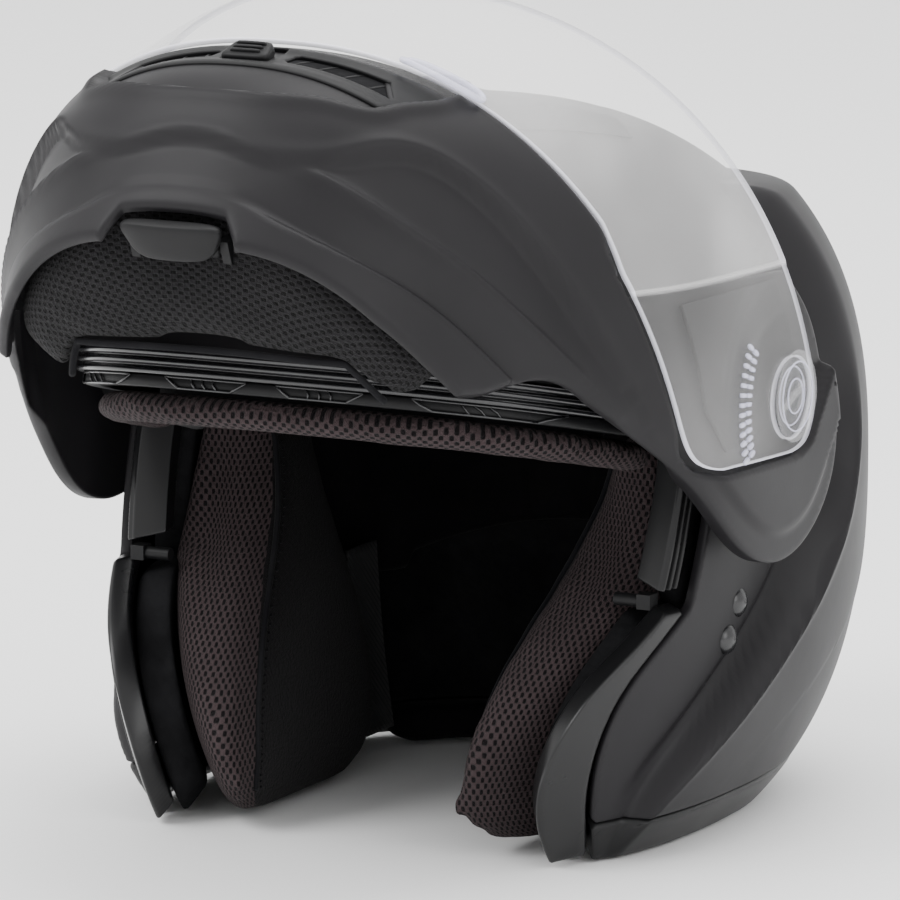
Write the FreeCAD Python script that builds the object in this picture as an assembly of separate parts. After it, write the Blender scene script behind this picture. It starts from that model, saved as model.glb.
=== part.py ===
import FreeCAD, Part
import math
import os

# Flip-up motorcycle helmet, drawn with its chin bar raised.
# Frame: X towards the wearer's left, front of the helmet towards -Y, Z up, floor at Z = 0.
# The Y = 0 plane holds the axis that the chin bar and the face shield turn about.

Vector = FreeCAD.Vector

# ---------------------------------------------------------------- driving dimensions, mm
PIVOT_Z = 153.0
LIFT_ANGLE = 68.0
CENTRE_Y = 12.0
WIDEST_Z = 115.0
WALL = 4.0
SOFT_GAP = 0.4
RIM_HEIGHT = 14.0
FAR = 260.0

# Rounded forms: half width, front reach, rear reach, rise, drop, roundness power.
CROWN = (124.0, 152.0, 146.0, 128.0, 150.0, 2.25)
FLANK = (112.5, 138.0, 138.0, 123.0, 190.0, 2.25)
REAR = (127.0, 150.0, 151.0, 133.0, 148.0, 2.5)
EYEPORT = (106.0, 148.0, 146.0, 128.0, 150.0, 3.0)
CAVITY = (76.0, 100.0, 98.0, 88.0, 190.0, 2.2)

# Face form with the chin bar closed: height, half width, front reach.
FACE_LEVELS = (
    (-6.0, 88.0, 136.0),
    (10.0, 92.0, 147.0),
    (25.0, 95.5, 158.0),
    (45.0, 104.5, 170.0),
    (65.0, 114.0, 169.5),
    (80.0, 122.0, 164.5),
    (91.0, 127.0, 160.0),
    (105.0, 130.0, 156.0),
    (120.0, 131.0, 152.0),
    (150.0, 131.0, 145.0),
    (171.0, 131.0, 138.0),
    (192.0, 131.0, 126.0),
)
FACE_POWER = 2.3
FACE_BACK = 75.0
ARM_WALL = 8.0
ARM_START_Y = -82.0
ARM_LOW_Z = 83.4
POCKET_DEPTH = 5.6
SHIELD_THICKNESS = 2.2
SHIELD_TURN_RADIUS = 22.0
PLATE_THICKNESS = 0.8
PLATE_GAP = 0.7

# Brow edge of the eyeport: height at the front and slope towards the back.
BROW_FRONT = (-131.0, 176.0)
BROW_SLOPE = -0.23
GASKET_DEPTH = 8.5
VENT_STRIP_DEPTH = 13.0
BROW_PAD_DEPTH = 25.0
BROW_BACK_Y = -22.0
BROW_PAD_BACK_Y = -29.0

# Hinge stack at each side, measured outwards along X.
BOSS_RADIUS = 24.0
BOSS_INNER_X = 106.6
BOSS_OUTER_X = 121.4
PIN_RADIUS = 8.0
PIN_CLEARANCE = 0.3
FLANGE_RADIUS = 10.5
FLANGE_X = (127.2, 128.5)
HUB_RADIUS = 13.5
HUB_BORE_RADIUS = 11.0
HUB_LIP_RADIUS = 15.5
HUB_X = (126.9, 129.2, 131.6, 132.4)
HUB_CLEARANCE = 0.4

# Half width of the space between the cheek pads, by height.
HEAD_GAP = ((-10.0, 40.0), (20.0, 41.0), (45.0, 43.0), (70.0, 50.0), (95.0, 59.0), (120.0, 66.0),
            (146.0, 69.0))

# Curves in the side view, as (Y, Z).
SHELL_SIDE_EDGE = [(-13.0, 143.0), (-30.0, 85.0)]
TRIM_OUTER_EDGE = [(-31.0, 84.0), (-45.0, 72.5), (-58.0, 58.0), (-63.0, 42.0), (-62.0, 25.0), (-56.0, 8.0),
                   (-51.0, -3.0)]
TRIM_FRONT_EDGE = [(-42.0, 84.0), (-54.5, 74.0), (-70.0, 60.0), (-77.0, 47.0), (-79.5, 30.0), (-75.0, 14.0),
                   (-63.0, -3.0)]
GROOVE = [(52.0, 198.0), (61.0, 175.0), (65.5, 150.0), (64.0, 128.0), (54.0, 106.0), (34.0, 86.0), (10.0, 68.0),
          (-14.0, 50.0), (-33.0, 33.0), (-43.0, 16.0), (-46.0, -10.0)]
FLANK_TOP = [(-240.0, 200.0), (-131.0, 168.0), (-90.0, 160.0), (-50.0, 165.0), (0.0, 180.0), (50.0, 188.0)]
CHIN_REAR_EDGE = [(-51.0, 60.0), (-29.0, 73.0), (4.0, 91.0), (30.0, 104.0), (44.0, 118.0), (51.0, 134.0),
                  (52.0, 152.0), (44.0, 172.0), (31.0, 182.0), (10.0, 185.5), (-14.0, 184.0), (-36.0, 176.0)]
CHIN_NOTCH = [(-73.0, 27.0), (-70.0, 42.0), (-64.0, 52.0), (-51.0, 60.0)]
CHIN_TAB = (-77.0, 19.5)
CHIN_BOTTOM_FRONT = (-220.0, -24.0)
ARM_FRONT_EDGE = [(-40.0, 168.0), (-78.0, 82.0)]
CHIN_TOP_Z = 90.5
SHIELD_LOWER_Z = 91.5
SHIELD_TOP_Z = 171.0

# Cheek pads in the side view.
CHEEK_FRONT = [(-12.0, 140.0), (-14.0, 122.0), (-24.0, 100.0), (-46.0, 75.0), (-65.0, 48.0), (-71.0, 25.0),
               (-68.0, 10.0), (-60.0, 2.0)]
BACKING_FRONT = [(-40.0, 79.0), (-60.0, 56.0), (-66.0, 40.0), (-67.0, 25.0), (-62.0, 8.0), (-56.0, 2.0)]
CHEEK_BACK_Y = 40.0
CHEEK_PAD_DEPTH = 22.0
BACKING_DEPTH = 9.6


# ---------------------------------------------------------------- helpers
def spline(points, closed=False):
    curve = Part.BSplineCurve()
    curve.interpolate(Points=[Vector(*p) for p in points], PeriodicFlag=closed)
    return curve.toShape()


def level_scale(z, rise, drop, power):
    reach = rise if z > WIDEST_Z else drop
    return max(0.0, 1.0 - (abs(z - WIDEST_Z) / reach) ** power) ** (1.0 / power)


def form_outline(form, grow, z, count=28):
    """Closed horizontal outline of a rounded form at one height."""
    half_width, front, rear, rise, drop, power = form
    scale = level_scale(z, rise + grow, drop + grow, power)
    points = []
    for step in range(count):
        turn = 2.0 * math.pi * step / count
        across, along = math.cos(turn), math.sin(turn)
        reach = (rear if along > 0 else front) + grow
        radius = ((abs(across) / (half_width + grow)) ** power + (abs(along) / reach) ** power) ** (-1.0 / power)
        points.append((radius * scale * across, CENTRE_Y + radius * scale * along, z))
    return Part.Wire([spline(points, closed=True)])


def form_solid(form, grow=0.0, bottom=-8.0):
    """Rounded solid from below the rim to a small flat at the crown."""
    rise, power = form[3] + grow, form[5]
    heights = [bottom + (WIDEST_Z - bottom) * share for share in (0.0, 0.2, 0.45, 0.72, 1.0)]
    for degrees in (14, 28, 41, 53, 63, 72, 79, 84, 87):
        heights.append(WIDEST_Z + rise * math.sin(math.radians(degrees)) ** (2.0 / power))
    return Part.makeLoft([form_outline(form, grow, z) for z in heights], True, False)


def face_outline(z, half_width, front, count=15):
    """Closed outline of the face form at one height: a rounded front and straight sides."""
    points = []
    for step in range(count):
        turn = math.pi * step / (count - 1)
        across, along = math.cos(turn), math.sin(turn)
        radius = ((abs(across) / half_width) ** FACE_POWER + (abs(along) / front) ** FACE_POWER) ** (-1.0 / FACE_POWER)
        points.append(Vector(radius * across, -radius * along, z))
    curve = Part.BSplineCurve()
    curve.interpolate(Points=points, InitialTangent=Vector(0, -1, 0), FinalTangent=Vector(0, 1, 0))
    left, right = Vector(half_width, FACE_BACK, z), Vector(-half_width, FACE_BACK, z)
    edges = [curve.toShape(), Part.makeLine(points[-1], right), Part.makeLine(right, left),
             Part.makeLine(left, points[0])]
    return Part.Wire(edges)


def face_solid(grow=0.0):
    return Part.makeLoft([face_outline(z, w + grow, f + grow) for z, w, f in FACE_LEVELS], True, False)


def prism(path, axis, low, high):
    """Solid between two planes across an axis; a list inside the path is a smooth curve."""
    def place(pair):
        if axis == "X":
            return Vector(low, pair[0], pair[1])
        if axis == "Y":
            return Vector(pair[0], low, pair[1])
        return Vector(pair[0], pair[1], low)

    edges = []
    first = last = None
    for item in path:
        pairs = item if isinstance(item, list) else [item]
        start = place(pairs[0])
        if last is not None and (start - last).Length > 1e-6:
            edges.append(Part.makeLine(last, start))
        if len(pairs) > 2:
            edges.append(spline([tuple(place(p)) for p in pairs]))
        elif len(pairs) == 2:
            edges.append(Part.makeLine(start, place(pairs[1])))
        first = first or start
        last = place(pairs[-1])
    edges.append(Part.makeLine(last, first))
    direction = {"X": Vector(1, 0, 0), "Y": Vector(0, 1, 0), "Z": Vector(0, 0, 1)}[axis]
    return Part.Face(Part.Wire(edges)).extrude(direction * (high - low))


def side_prism(path, low=-FAR, high=FAR):
    return prism(path, "X", low, high)


def shifted(points, dy, dz):
    return [(y + dy, z + dz) for y, z in points]


def disc_x(radius, low, high, y=0.0, z=PIVOT_Z):
    return Part.makeCylinder(radius, high - low, Vector(low, y, z), Vector(1, 0, 0))


def mirrored(shape):
    return shape.mirror(Vector(0, 0, 0), Vector(1, 0, 0))


def raised(shape):
    """Turn a piece drawn with the chin bar closed to its raised place."""
    turned = shape.copy()
    turned.rotate(Vector(0, 0, PIVOT_Z), Vector(1, 0, 0), -LIFT_ANGLE)
    return turned


def save(name, shape):
    solids = shape.Solids
    result = solids[0] if len(solids) == 1 else Part.makeCompound(solids)
    result.exportStep("parts/%s.step" % name)
    box = result.BoundBox
    print("%-22s %d  vol %8.1f cm3  X %.0f %.0f  Y %.0f %.0f  Z %.0f %.0f  %s" % (
        name, len(solids), result.Volume / 1000.0, box.XMin, box.XMax, box.YMin, box.YMax, box.ZMin, box.ZMax,
        "" if result.isValid() else "NOT VALID"))


def save_pair(name, left):
    save(name + "_left", left)
    save(name + "_right", mirrored(left))


def biggest(shape):
    return max(shape.Solids, key=lambda solid: solid.Volume)


def left_half(shape, start=0.0):
    return shape.common(Part.makeBox(FAR, 2 * FAR, 2 * FAR, Vector(start, -FAR, -FAR)))


def brow_z(y, below=0.0):
    return BROW_FRONT[1] + BROW_SLOPE * (y - BROW_FRONT[0]) - below


def brow_band(top, bottom, back_y=BROW_BACK_Y):
    """Sloping slab between two depths below the brow edge, ahead of back_y."""
    front_y = -220.0
    return side_prism([(front_y, brow_z(front_y, top)), (back_y, brow_z(back_y, top)),
                       (back_y, brow_z(back_y, bottom)), (front_y, brow_z(front_y, bottom))])


# ---------------------------------------------------------------- shell and liners
def body_form(inset=0.0):
    """Whole outer body; inset gives the form of its inside at that depth."""
    crown_region = side_prism([shifted(FLANK_TOP, 0.0, inset), (FAR, 170.0 + inset), (FAR, 300.0), (-240.0, 300.0)])
    rear_region = side_prism([shifted(GROOVE, inset, -inset), (FAR, -10.0 - inset), (FAR, 182.0 - inset)])
    crown = form_solid(CROWN, -inset).common(crown_region)
    rear = form_solid(REAR, -inset).common(rear_region)
    return form_solid(FLANK, -inset).fuse([crown, rear])


def opening_prism(gap=0.0):
    """Everything ahead of the shell's front edge: the eyeport and the space for the chin bar."""
    front_y, corner_y = -240.0, -22.0
    return side_prism([(front_y, brow_z(front_y) + gap), (corner_y, brow_z(corner_y) + gap),
                       shifted(SHELL_SIDE_EDGE, gap, 0.0), shifted(TRIM_OUTER_EDGE, gap, 0.0), (front_y, -10.0)])


def above(z):
    return Part.makeBox(2 * FAR, 2 * FAR, FAR + 100.0, Vector(-FAR, -FAR, z))


def slab(low, high):
    return Part.makeBox(2 * FAR, 2 * FAR, high - low, Vector(-FAR, -FAR, low))


RIVETS = ((110.0, 1.0, 81.5), (109.3, -5.5, 70.0))
RIVET_HEAD_RADIUS = 5.5
RIVET_SHANK_RADIUS = 2.4


def rivet(place):
    x, y, z = place
    head = Part.makeSphere(9.0, Vector(x - 6.2, y, z)).common(disc_x(RIVET_HEAD_RADIUS, x, x + 6.0, y, z))
    shank = disc_x(RIVET_SHANK_RADIUS, x - 7.5, x + 0.2, y, z)
    return head.fuse(shank)


def rivet_seat(place):
    x, y, z = place
    return disc_x(RIVET_HEAD_RADIUS + 0.6, x - 0.5, x + 20.0, y, z).fuse(
        disc_x(RIVET_SHANK_RADIUS + 0.1, x - 12.0, x + 1.0, y, z))


def make_shell(outer, inner):
    shell = outer.cut(inner).common(above(RIM_HEIGHT)).cut(opening_prism())
    boss_seat = disc_x(BOSS_RADIUS + 0.1, BOSS_INNER_X - 1.0, FAR)
    cutters = [boss_seat, mirrored(boss_seat)]
    for place in RIVETS:
        cutters += [rivet_seat(place), mirrored(rivet_seat(place))]
    return biggest(shell.cut(cutters))


def make_rim(outer):
    inner = form_solid(FLANK, -7.0).fuse(form_solid(REAR, -10.0).common(
        side_prism([shifted(GROOVE, 8.0, -8.0), (FAR, -20.0), (FAR, 174.0)])))
    rim = outer.cut(inner).common(slab(0.0, RIM_HEIGHT - 0.2)).cut(opening_prism(0.2))
    arch = side_prism([[(-24.0, -5.0), (25.0, 6.0), (90.0, -5.0)]])
    return biggest(rim.cut(arch))


def make_eps(inner):
    keep = side_prism([(-240.0, brow_z(-240.0) + 0.5), (-22.0, brow_z(-22.0) + 0.5), (-6.0, 147.0), (41.0, 147.0),
                       (44.0, 16.5), (FAR, 16.5), (FAR, 300.0), (-240.0, 300.0)])
    boss_room = disc_x(BOSS_RADIUS + 0.5, BOSS_INNER_X - 3.0, FAR)
    solid = inner.common(keep).cut([form_solid(CAVITY, 10.5), boss_room, mirrored(boss_room)])
    return biggest(solid)


def make_crown_pad():
    keep = side_prism([(-240.0, brow_z(-240.0) + 0.5), (-22.0, brow_z(-22.0) + 0.5), (-6.0, 147.5), (41.0, 147.5),
                       (44.0, 60.0), (FAR, 60.0), (FAR, 300.0), (-240.0, 300.0)])
    return biggest(form_solid(CAVITY, 10.0).common(keep).cut(form_solid(CAVITY, 1.0)))


def make_neck_roll():
    keep = side_prism([(69.0, 1.0), (69.0, 16.0), (FAR, 16.0), (FAR, 1.0)])
    return biggest(form_solid(FLANK, -8.0).common(keep).cut(form_solid(CAVITY, 1.0)))


def make_forehead_pad():
    band = brow_band(-0.2, BROW_PAD_DEPTH - 1.0)
    return biggest(form_solid(EYEPORT, -24.5).common(band).cut(form_solid(CAVITY, 1.0)))


def eyeport_strip(outer_grow, inner_grow, top, bottom, back_y=BROW_BACK_Y):
    ring = form_solid(EYEPORT, outer_grow).cut(form_solid(EYEPORT, inner_grow))
    return biggest(ring.common(brow_band(top, bottom, back_y)))


def head_gap():
    right = [(-w, z) for z, w in reversed(HEAD_GAP)]
    return prism([[(w, z) for z, w in HEAD_GAP], right], "Y", -FAR, FAR)


def make_cheek_pad():
    outline = side_prism([(CHEEK_BACK_Y, 140.0), CHEEK_FRONT, (30.0, 2.0), (CHEEK_BACK_Y, 16.0)])
    return biggest(left_half(outline.common(form_solid(FLANK, -CHEEK_PAD_DEPTH)).cut(head_gap()), 20.0))


def make_cheek_backing():
    outline = side_prism([(CHEEK_BACK_Y, 146.0), (-8.0, 146.0), (-22.0, 84.0), BACKING_FRONT, (34.0, 2.0),
                          (CHEEK_BACK_Y, 16.0)])
    solid = form_solid(FLANK, -BACKING_DEPTH).cut(form_solid(FLANK, SOFT_GAP - CHEEK_PAD_DEPTH)).common(outline)
    return biggest(left_half(solid.cut(disc_x(BOSS_RADIUS + 0.5, BOSS_INNER_X - 3.0, FAR)), 20.0))


def make_side_seal():
    top, low = SHELL_SIDE_EDGE
    width = 10.0
    top_z, low_z = 136.8, 90.4
    slope = (top[0] - low[0]) / (top[1] - low[1])
    top_y, low_y = top[0] - slope * (top[1] - top_z) - 0.3, low[0] + slope * (low_z - low[1]) - 0.3
    band = side_prism([(top_y, top_z), (top_y - width, top_z), (low_y - width, low_z), (low_y, low_z)])
    ribs = form_solid(FLANK, -5.5).cut([form_solid(FLANK, -19.0), disc_x(BOSS_RADIUS + 0.5, 100.0, FAR)])
    return biggest(left_half(ribs.common(band), 20.0))


def make_jaw_trim():
    band = side_prism([TRIM_FRONT_EDGE, list(reversed(shifted(TRIM_OUTER_EDGE, -0.3, 0.0)))])
    wall = form_solid(FLANK, -1.0).cut(form_solid(FLANK, -9.0)).common(band).common(above(0.0))
    return biggest(left_half(wall, 20.0))


def make_latch_striker():
    """Steel peg at the top of the jaw trim that the chin bar's hook closes over."""
    peg = Part.makeCylinder(2.2, 14.0, Vector(84.0, -38.0, 87.2), Vector(1, 0, 0))
    foot = Part.makeBox(5.0, 6.0, 5.0, Vector(93.0, -41.0, 84.8))
    return peg.fuse(foot)


def make_pivot_boss():
    boss = disc_x(BOSS_RADIUS, BOSS_INNER_X, BOSS_OUTER_X)
    return boss.cut(disc_x(PIN_RADIUS - 2.0, BOSS_INNER_X - 1.0, BOSS_OUTER_X + 1.0))


def make_pivot_pin():
    """Shouldered pin, fixed in the boss, that the chin bar's arm turns on."""
    shaft = disc_x(PIN_RADIUS, BOSS_OUTER_X, FLANGE_X[0])
    spigot = disc_x(PIN_RADIUS - 2.1, BOSS_INNER_X, BOSS_OUTER_X)
    return shaft.fuse([spigot, disc_x(FLANGE_RADIUS, *FLANGE_X)])


# ---------------------------------------------------------------- vents on the shell
VENT_APEX_Y = -52.0
VENT_TIP = (60.0, 22.0)
VENT_HEIGHT = 6.0
SLIDER_HALF_WIDTH = 9.0
SLIDER_Y = (-8.0, 6.0)
SLIDER_TRAVEL = 8.0


def make_top_vent():
    """Swept cover on the crown with a gap in its middle for the slider."""
    tip_x, tip_y = VENT_TIP
    plan = prism([[(-tip_x, tip_y), (-34.0, -22.0), (0.0, VENT_APEX_Y), (34.0, -22.0), (tip_x, tip_y)],
                  [(tip_x - 6.0, tip_y + 16.0), (24.0, 12.0), (0.0, 20.0), (-24.0, 12.0), (6.0 - tip_x, tip_y + 16.0)]],
                 "Z", 150.0, 300.0)
    cover = form_solid(CROWN, VENT_HEIGHT).common(plan).cut(form_solid(CROWN, 0.3))
    track = Part.makeBox(2 * SLIDER_HALF_WIDTH + 1.0, SLIDER_Y[1] - SLIDER_Y[0] + SLIDER_TRAVEL + 1.0, 60.0,
                         Vector(-SLIDER_HALF_WIDTH - 0.5, SLIDER_Y[0] - SLIDER_TRAVEL - 0.5, 245.5))
    return biggest(cover.cut(track))


def make_top_vent_slider():
    block = Part.makeBox(2 * SLIDER_HALF_WIDTH, SLIDER_Y[1] - SLIDER_Y[0], 4.2,
                         Vector(-SLIDER_HALF_WIDTH, SLIDER_Y[0], 246.0))
    grip = Part.makeBox(12.0, 3.0, 3.0, Vector(-6.0, -2.5, 249.0))
    return block.fuse(grip)


def make_rear_vent():
    window = prism([(-34.0, 150.0), (34.0, 150.0), (24.0, 172.0), (-24.0, 172.0)], "Y", 100.0, FAR)
    plate = form_solid(REAR, 3.0).common(window).cut(form_solid(REAR, 0.3))
    slots = [Part.makeBox(30.0, FAR, 3.0, Vector(-15.0, 100.0, z)) for z in (155.0, 160.5, 166.0)]
    return biggest(plate.cut(slots))


# ---------------------------------------------------------------- chin strap
STRAP_WIDTH = 22.0
STRAP_THICKNESS = 2.0


def strap_run(points, y_low):
    """Flat webbing that follows points in the front view, (X, Z), at one Y."""
    strips = []
    for (x0, z0), (x1, z1) in zip(points, points[1:]):
        length = math.hypot(x1 - x0, z1 - z0)
        strip = Part.makeBox(length, STRAP_WIDTH, STRAP_THICKNESS, Vector(0, 0, 0))
        strip.rotate(Vector(0, 0, 0), Vector(0, 1, 0), -math.degrees(math.atan2(z1 - z0, x1 - x0)))
        strip.translate(Vector(x0, y_low, z0))
        strips.append(strip)
    knees = [Part.makeCylinder(STRAP_THICKNESS / 2.0, STRAP_WIDTH, Vector(x, y_low, z), Vector(0, 1, 0))
             for x, z in points[1:-1]]
    return strips[0].fuse(strips[1:] + knees)


STRAP_Y = 46.0
RING_BAR = (53.0, 30.0)
RING_WIRE = 1.4
RING_RADIUS = 14.0
RING_SPACING = 4.0


def make_strap_left():
    """Short webbing that ends in a loop around the rings' bars."""
    loop_x, loop_z = RING_BAR
    loop = Part.makeCylinder(5.8, STRAP_WIDTH, Vector(loop_x, STRAP_Y, loop_z), Vector(0, 1, 0))
    bore = Part.makeCylinder(4.0, STRAP_WIDTH + 2.0, Vector(loop_x, STRAP_Y - 1.0, loop_z), Vector(0, 1, 0))
    run = strap_run([(58.0, 34.0), (60.5, 54.0), (61.5, 76.0)], STRAP_Y)
    return biggest(run.fuse(loop).cut(bore))


def make_strap_right():
    return mirrored(biggest(strap_run([(54.0, 10.0), (58.5, 40.0), (61.5, 76.0)], STRAP_Y)))


def make_d_rings():
    """Two rings that hang side by side from their straight bars in the strap's loop."""
    loop_x, loop_z = RING_BAR
    rings = []
    for side in (-0.5, 0.5):
        x = loop_x + side * RING_SPACING
        middle_y = STRAP_Y + STRAP_WIDTH / 2.0
        arc = Part.makeTorus(RING_RADIUS, RING_WIRE, Vector(x, middle_y, loop_z), Vector(1, 0, 0))
        lower = arc.common(slab(loop_z - 40.0, loop_z))
        bar = Part.makeCylinder(RING_WIRE, 2 * RING_RADIUS, Vector(x, middle_y - RING_RADIUS, loop_z), Vector(0, 1, 0))
        rings.append(biggest(lower.fuse(bar)))
    return Part.makeCompound(rings)


# ---------------------------------------------------------------- chin bar, drawn closed
def chin_outline():
    return side_prism([CHIN_BOTTOM_FRONT, CHIN_TAB, CHIN_NOTCH, CHIN_REAR_EDGE, ARM_FRONT_EDGE,
                       (-84.0, CHIN_TOP_Z - 3.0), (-100.0, CHIN_TOP_Z), (-220.0, CHIN_TOP_Z)])


def shield_outline(grow=0.0):
    """Side view of the shield, grown outwards for the pocket that it lies in."""
    low = SHIELD_LOWER_Z - grow
    return side_prism([(-220.0, low), (-100.0, low), (-84.0, low - 4.0),
                       [(-30.0 + grow * 0.2, low - 5.0), (-12.0 + grow, low - 2.0), (-2.0 + grow, low + 10.0)],
                       [(18.0 + grow, 146.0), (20.0 + grow, 158.0), (12.0 + grow, 168.0 + grow),
                        (-4.0, SHIELD_TOP_Z + grow)],
                       (-220.0, SHIELD_TOP_Z + grow)])


def shield_sweep():
    """Room around and above the pocket that the shield's upper edge turns into."""
    room = side_prism([(12.6, 165.0), (10.0, 174.0), (4.0, 182.0), (-4.0, 200.0), (-90.0, 200.0), (-90.0, 165.0)])
    return room.fuse(disc_x(SHIELD_TURN_RADIUS, -FAR, FAR))


def chin_void():
    thin_zone = side_prism([(-FAR, -FAR), (FAR, -FAR), (FAR, ARM_LOW_Z), (ARM_START_Y, ARM_LOW_Z),
                            (ARM_START_Y, FAR), (-FAR, FAR)])
    return face_solid(-ARM_WALL).fuse(face_solid(-WALL).common(thin_zone))


VENT_LOW_Z = 62.0
VENT_TOP_Z = 86.0
VENT_HALF_WIDTH = 66.0
CHIN_SLOT = ((14.0, 70.0), (52.0, 70.0), (46.0, 80.0), (14.0, 80.0))
CHIN_SLIDER_HALF_WIDTH = 8.0
CHIN_SLIDER_TRAVEL = 5.0
CHIN_SLIDER_Z = (68.0, 78.0)


def chin_vent_slots():
    slot = prism(list(CHIN_SLOT), "Y", -FAR, -120.0)
    return [slot, mirrored(slot)]


def make_chin_shell():
    pocket = face_solid(2.0).cut(face_solid(-POCKET_DEPTH)).common(shield_outline(0.8).fuse(shield_sweep()))
    pin_hole = disc_x(PIN_RADIUS + PIN_CLEARANCE, 100.0, FAR)
    vent_seat = face_solid(2.0).cut(face_solid(-1.5)).common(vent_window(0.3))
    lever_gap = Part.makeBox(43.0, 16.0, 13.6, Vector(-21.5, -150.0, -4.0))
    shell = face_solid().cut(chin_void()).common(chin_outline())
    return biggest(shell.cut([pocket, pin_hole, mirrored(pin_hole), vent_seat, lever_gap] + chin_vent_slots()))


def vent_window(gap=0.0):
    half, low, top = VENT_HALF_WIDTH + gap, VENT_LOW_Z - gap, VENT_TOP_Z + gap
    return prism([(-half + 14.0, low), (half - 14.0, low), (half, top), (-half, top)], "Y", -FAR, -90.0)


def make_vent_frame():
    frame = face_solid(2.5).cut(face_solid(-1.2)).common(vent_window())
    track = Part.makeBox(2 * CHIN_SLIDER_HALF_WIDTH + 1.0, 60.0,
                         CHIN_SLIDER_Z[1] - CHIN_SLIDER_Z[0] + CHIN_SLIDER_TRAVEL + 1.0,
                         Vector(-CHIN_SLIDER_HALF_WIDTH - 0.5, -200.0, CHIN_SLIDER_Z[0] - 0.5))
    return biggest(frame.cut(chin_vent_slots() + [track]))


def make_vent_slider():
    low, top = CHIN_SLIDER_Z
    return Part.makeBox(2 * CHIN_SLIDER_HALF_WIDTH, 4.5, top - low, Vector(-CHIN_SLIDER_HALF_WIDTH, -173.0, low))


def chin_zone(low, top, back_y):
    """Room for a chin bar lining, between two heights, ahead of back_y and above the sloping lower edge."""
    return side_prism([(-220.0, low), (-150.0, low), (back_y, low + 20.0), (back_y, top), (-220.0, top)])


def make_chin_liner():
    solid = face_solid(-WALL - 0.4).cut(face_solid(-22.0)).common(chin_zone(8.0, 83.5, -88.0))
    return biggest(solid.cut([lever_room()] + hook_rooms()))


def lever_room():
    return Part.makeBox(60.0, 40.0, 26.0, Vector(-30.0, -150.0, -6.0))


def make_mesh_pad():
    pad = face_solid(-22.4).cut(face_solid(-27.0)).common(chin_zone(12.0, 83.5, -86.0))
    return biggest(pad.cut(lever_room()))


def make_upper_seal():
    band = side_prism([(-220.0, 84.0), (-88.0, 84.0), (-88.0, 93.0), (-100.0, 97.0), (-220.0, 97.0)])
    return biggest(face_solid(-WALL - 0.4).cut(face_solid(-9.0)).common(band))


def make_shield_plate():
    """Thin plate under the shield's side, with the holes that the hub and its ratchet need."""
    region = side_prism([(-38.0, 167.0), (-62.0, 108.0), (-24.0, 102.0), (-5.0, 108.0), (9.0, 160.0), (-4.0, 167.0)])
    floor = PLATE_GAP - POCKET_DEPTH
    plate = face_solid(floor + PLATE_THICKNESS).cut(face_solid(floor)).common(region)
    teeth = []
    for step in range(7):
        angle = math.radians(188.0 + 11.0 * step)
        y, z = 40.0 * math.cos(angle), PIVOT_Z + 40.0 * math.sin(angle)
        teeth.append(disc_x(1.8, 100.0, FAR, y, z))
    return biggest(left_half(plate.cut([disc_x(HUB_RADIUS + 0.5, 100.0, FAR)] + teeth), 20.0))


def make_shield_hub():
    inner, floor, lip, outer = HUB_X
    hub = disc_x(HUB_RADIUS, inner, outer).fuse(disc_x(HUB_LIP_RADIUS, lip, outer))
    return hub.cut(disc_x(HUB_BORE_RADIUS, inner - 1.0, floor))


def make_shield():
    shield = face_solid(0.0).cut(face_solid(-SHIELD_THICKNESS)).common(shield_outline())
    hub_hole = disc_x(HUB_RADIUS + HUB_CLEARANCE, 100.0, FAR)
    tab_outline = prism([(48.0, 86.0), (66.0, 86.0), (69.0, 93.0), (45.0, 93.0)], "Y", -FAR, -110.0)
    tab = face_solid(6.0).cut(face_solid(0.6)).common(tab_outline)
    root = face_solid(1.0).cut(face_solid(-1.0)).common(tab_outline).common(above(SHIELD_LOWER_Z + 0.2))
    return biggest(shield.cut([hub_hole, mirrored(hub_hole)]).fuse([tab, root]))


# Release lever under the chin and the two hooks that it draws.
LEVER_HALF_WIDTH = 20.0
LEVER_Y = (-141.5, -128.0)
LEVER_Z = (1.0, 6.2)
LEVER_AXLE = (-129.5, 9.0)
HOOK_X = (78.0, 81.5)


def make_release_lever():
    half = LEVER_HALF_WIDTH
    face = prism([(-half, LEVER_Y[0]), (half, LEVER_Y[0]), (half - 5.0, LEVER_Y[1]), (5.0 - half, LEVER_Y[1])],
                 "Z", LEVER_Z[0], LEVER_Z[1])
    barrel = disc_x(2.6, -14.0, 14.0, LEVER_AXLE[0], LEVER_AXLE[1])
    web = Part.makeBox(24.0, 3.0, 6.0, Vector(-12.0, LEVER_AXLE[0] - 1.5, 4.0))
    return face.fuse([barrel, web]).cut(disc_x(1.3, -20.0, 20.0, LEVER_AXLE[0], LEVER_AXLE[1]))


def make_lever_axle():
    axle = disc_x(1.25, -18.0, 18.0, LEVER_AXLE[0], LEVER_AXLE[1])
    ears = [Part.makeBox(3.0, 8.0, 11.6, Vector(x, LEVER_AXLE[0] - 4.0, 7.4)) for x in (15.0, -18.0)]
    bridge = Part.makeBox(36.0, 8.0, 2.5, Vector(-18.0, LEVER_AXLE[0] - 4.0, 16.5))
    return axle.fuse(ears + [bridge])


def make_latch_hook():
    """Hook plate at the rear corner of the chin bar; it slides forward to let go."""
    x_low, x_high = HOOK_X
    path = [(-98.0, 40.0), (-80.0, 40.0), (-80.0, 44.0), (-84.0, 44.0), (-84.0, 50.0), (-98.0, 50.0)]
    return side_prism(path, x_low, x_high)


def hook_rooms():
    x_low, x_high = HOOK_X
    room = Part.makeBox(x_high - x_low + 1.2, 30.0, 12.0, Vector(x_low - 0.6, -104.0, 39.0))
    return [room, mirrored(room)]


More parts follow.
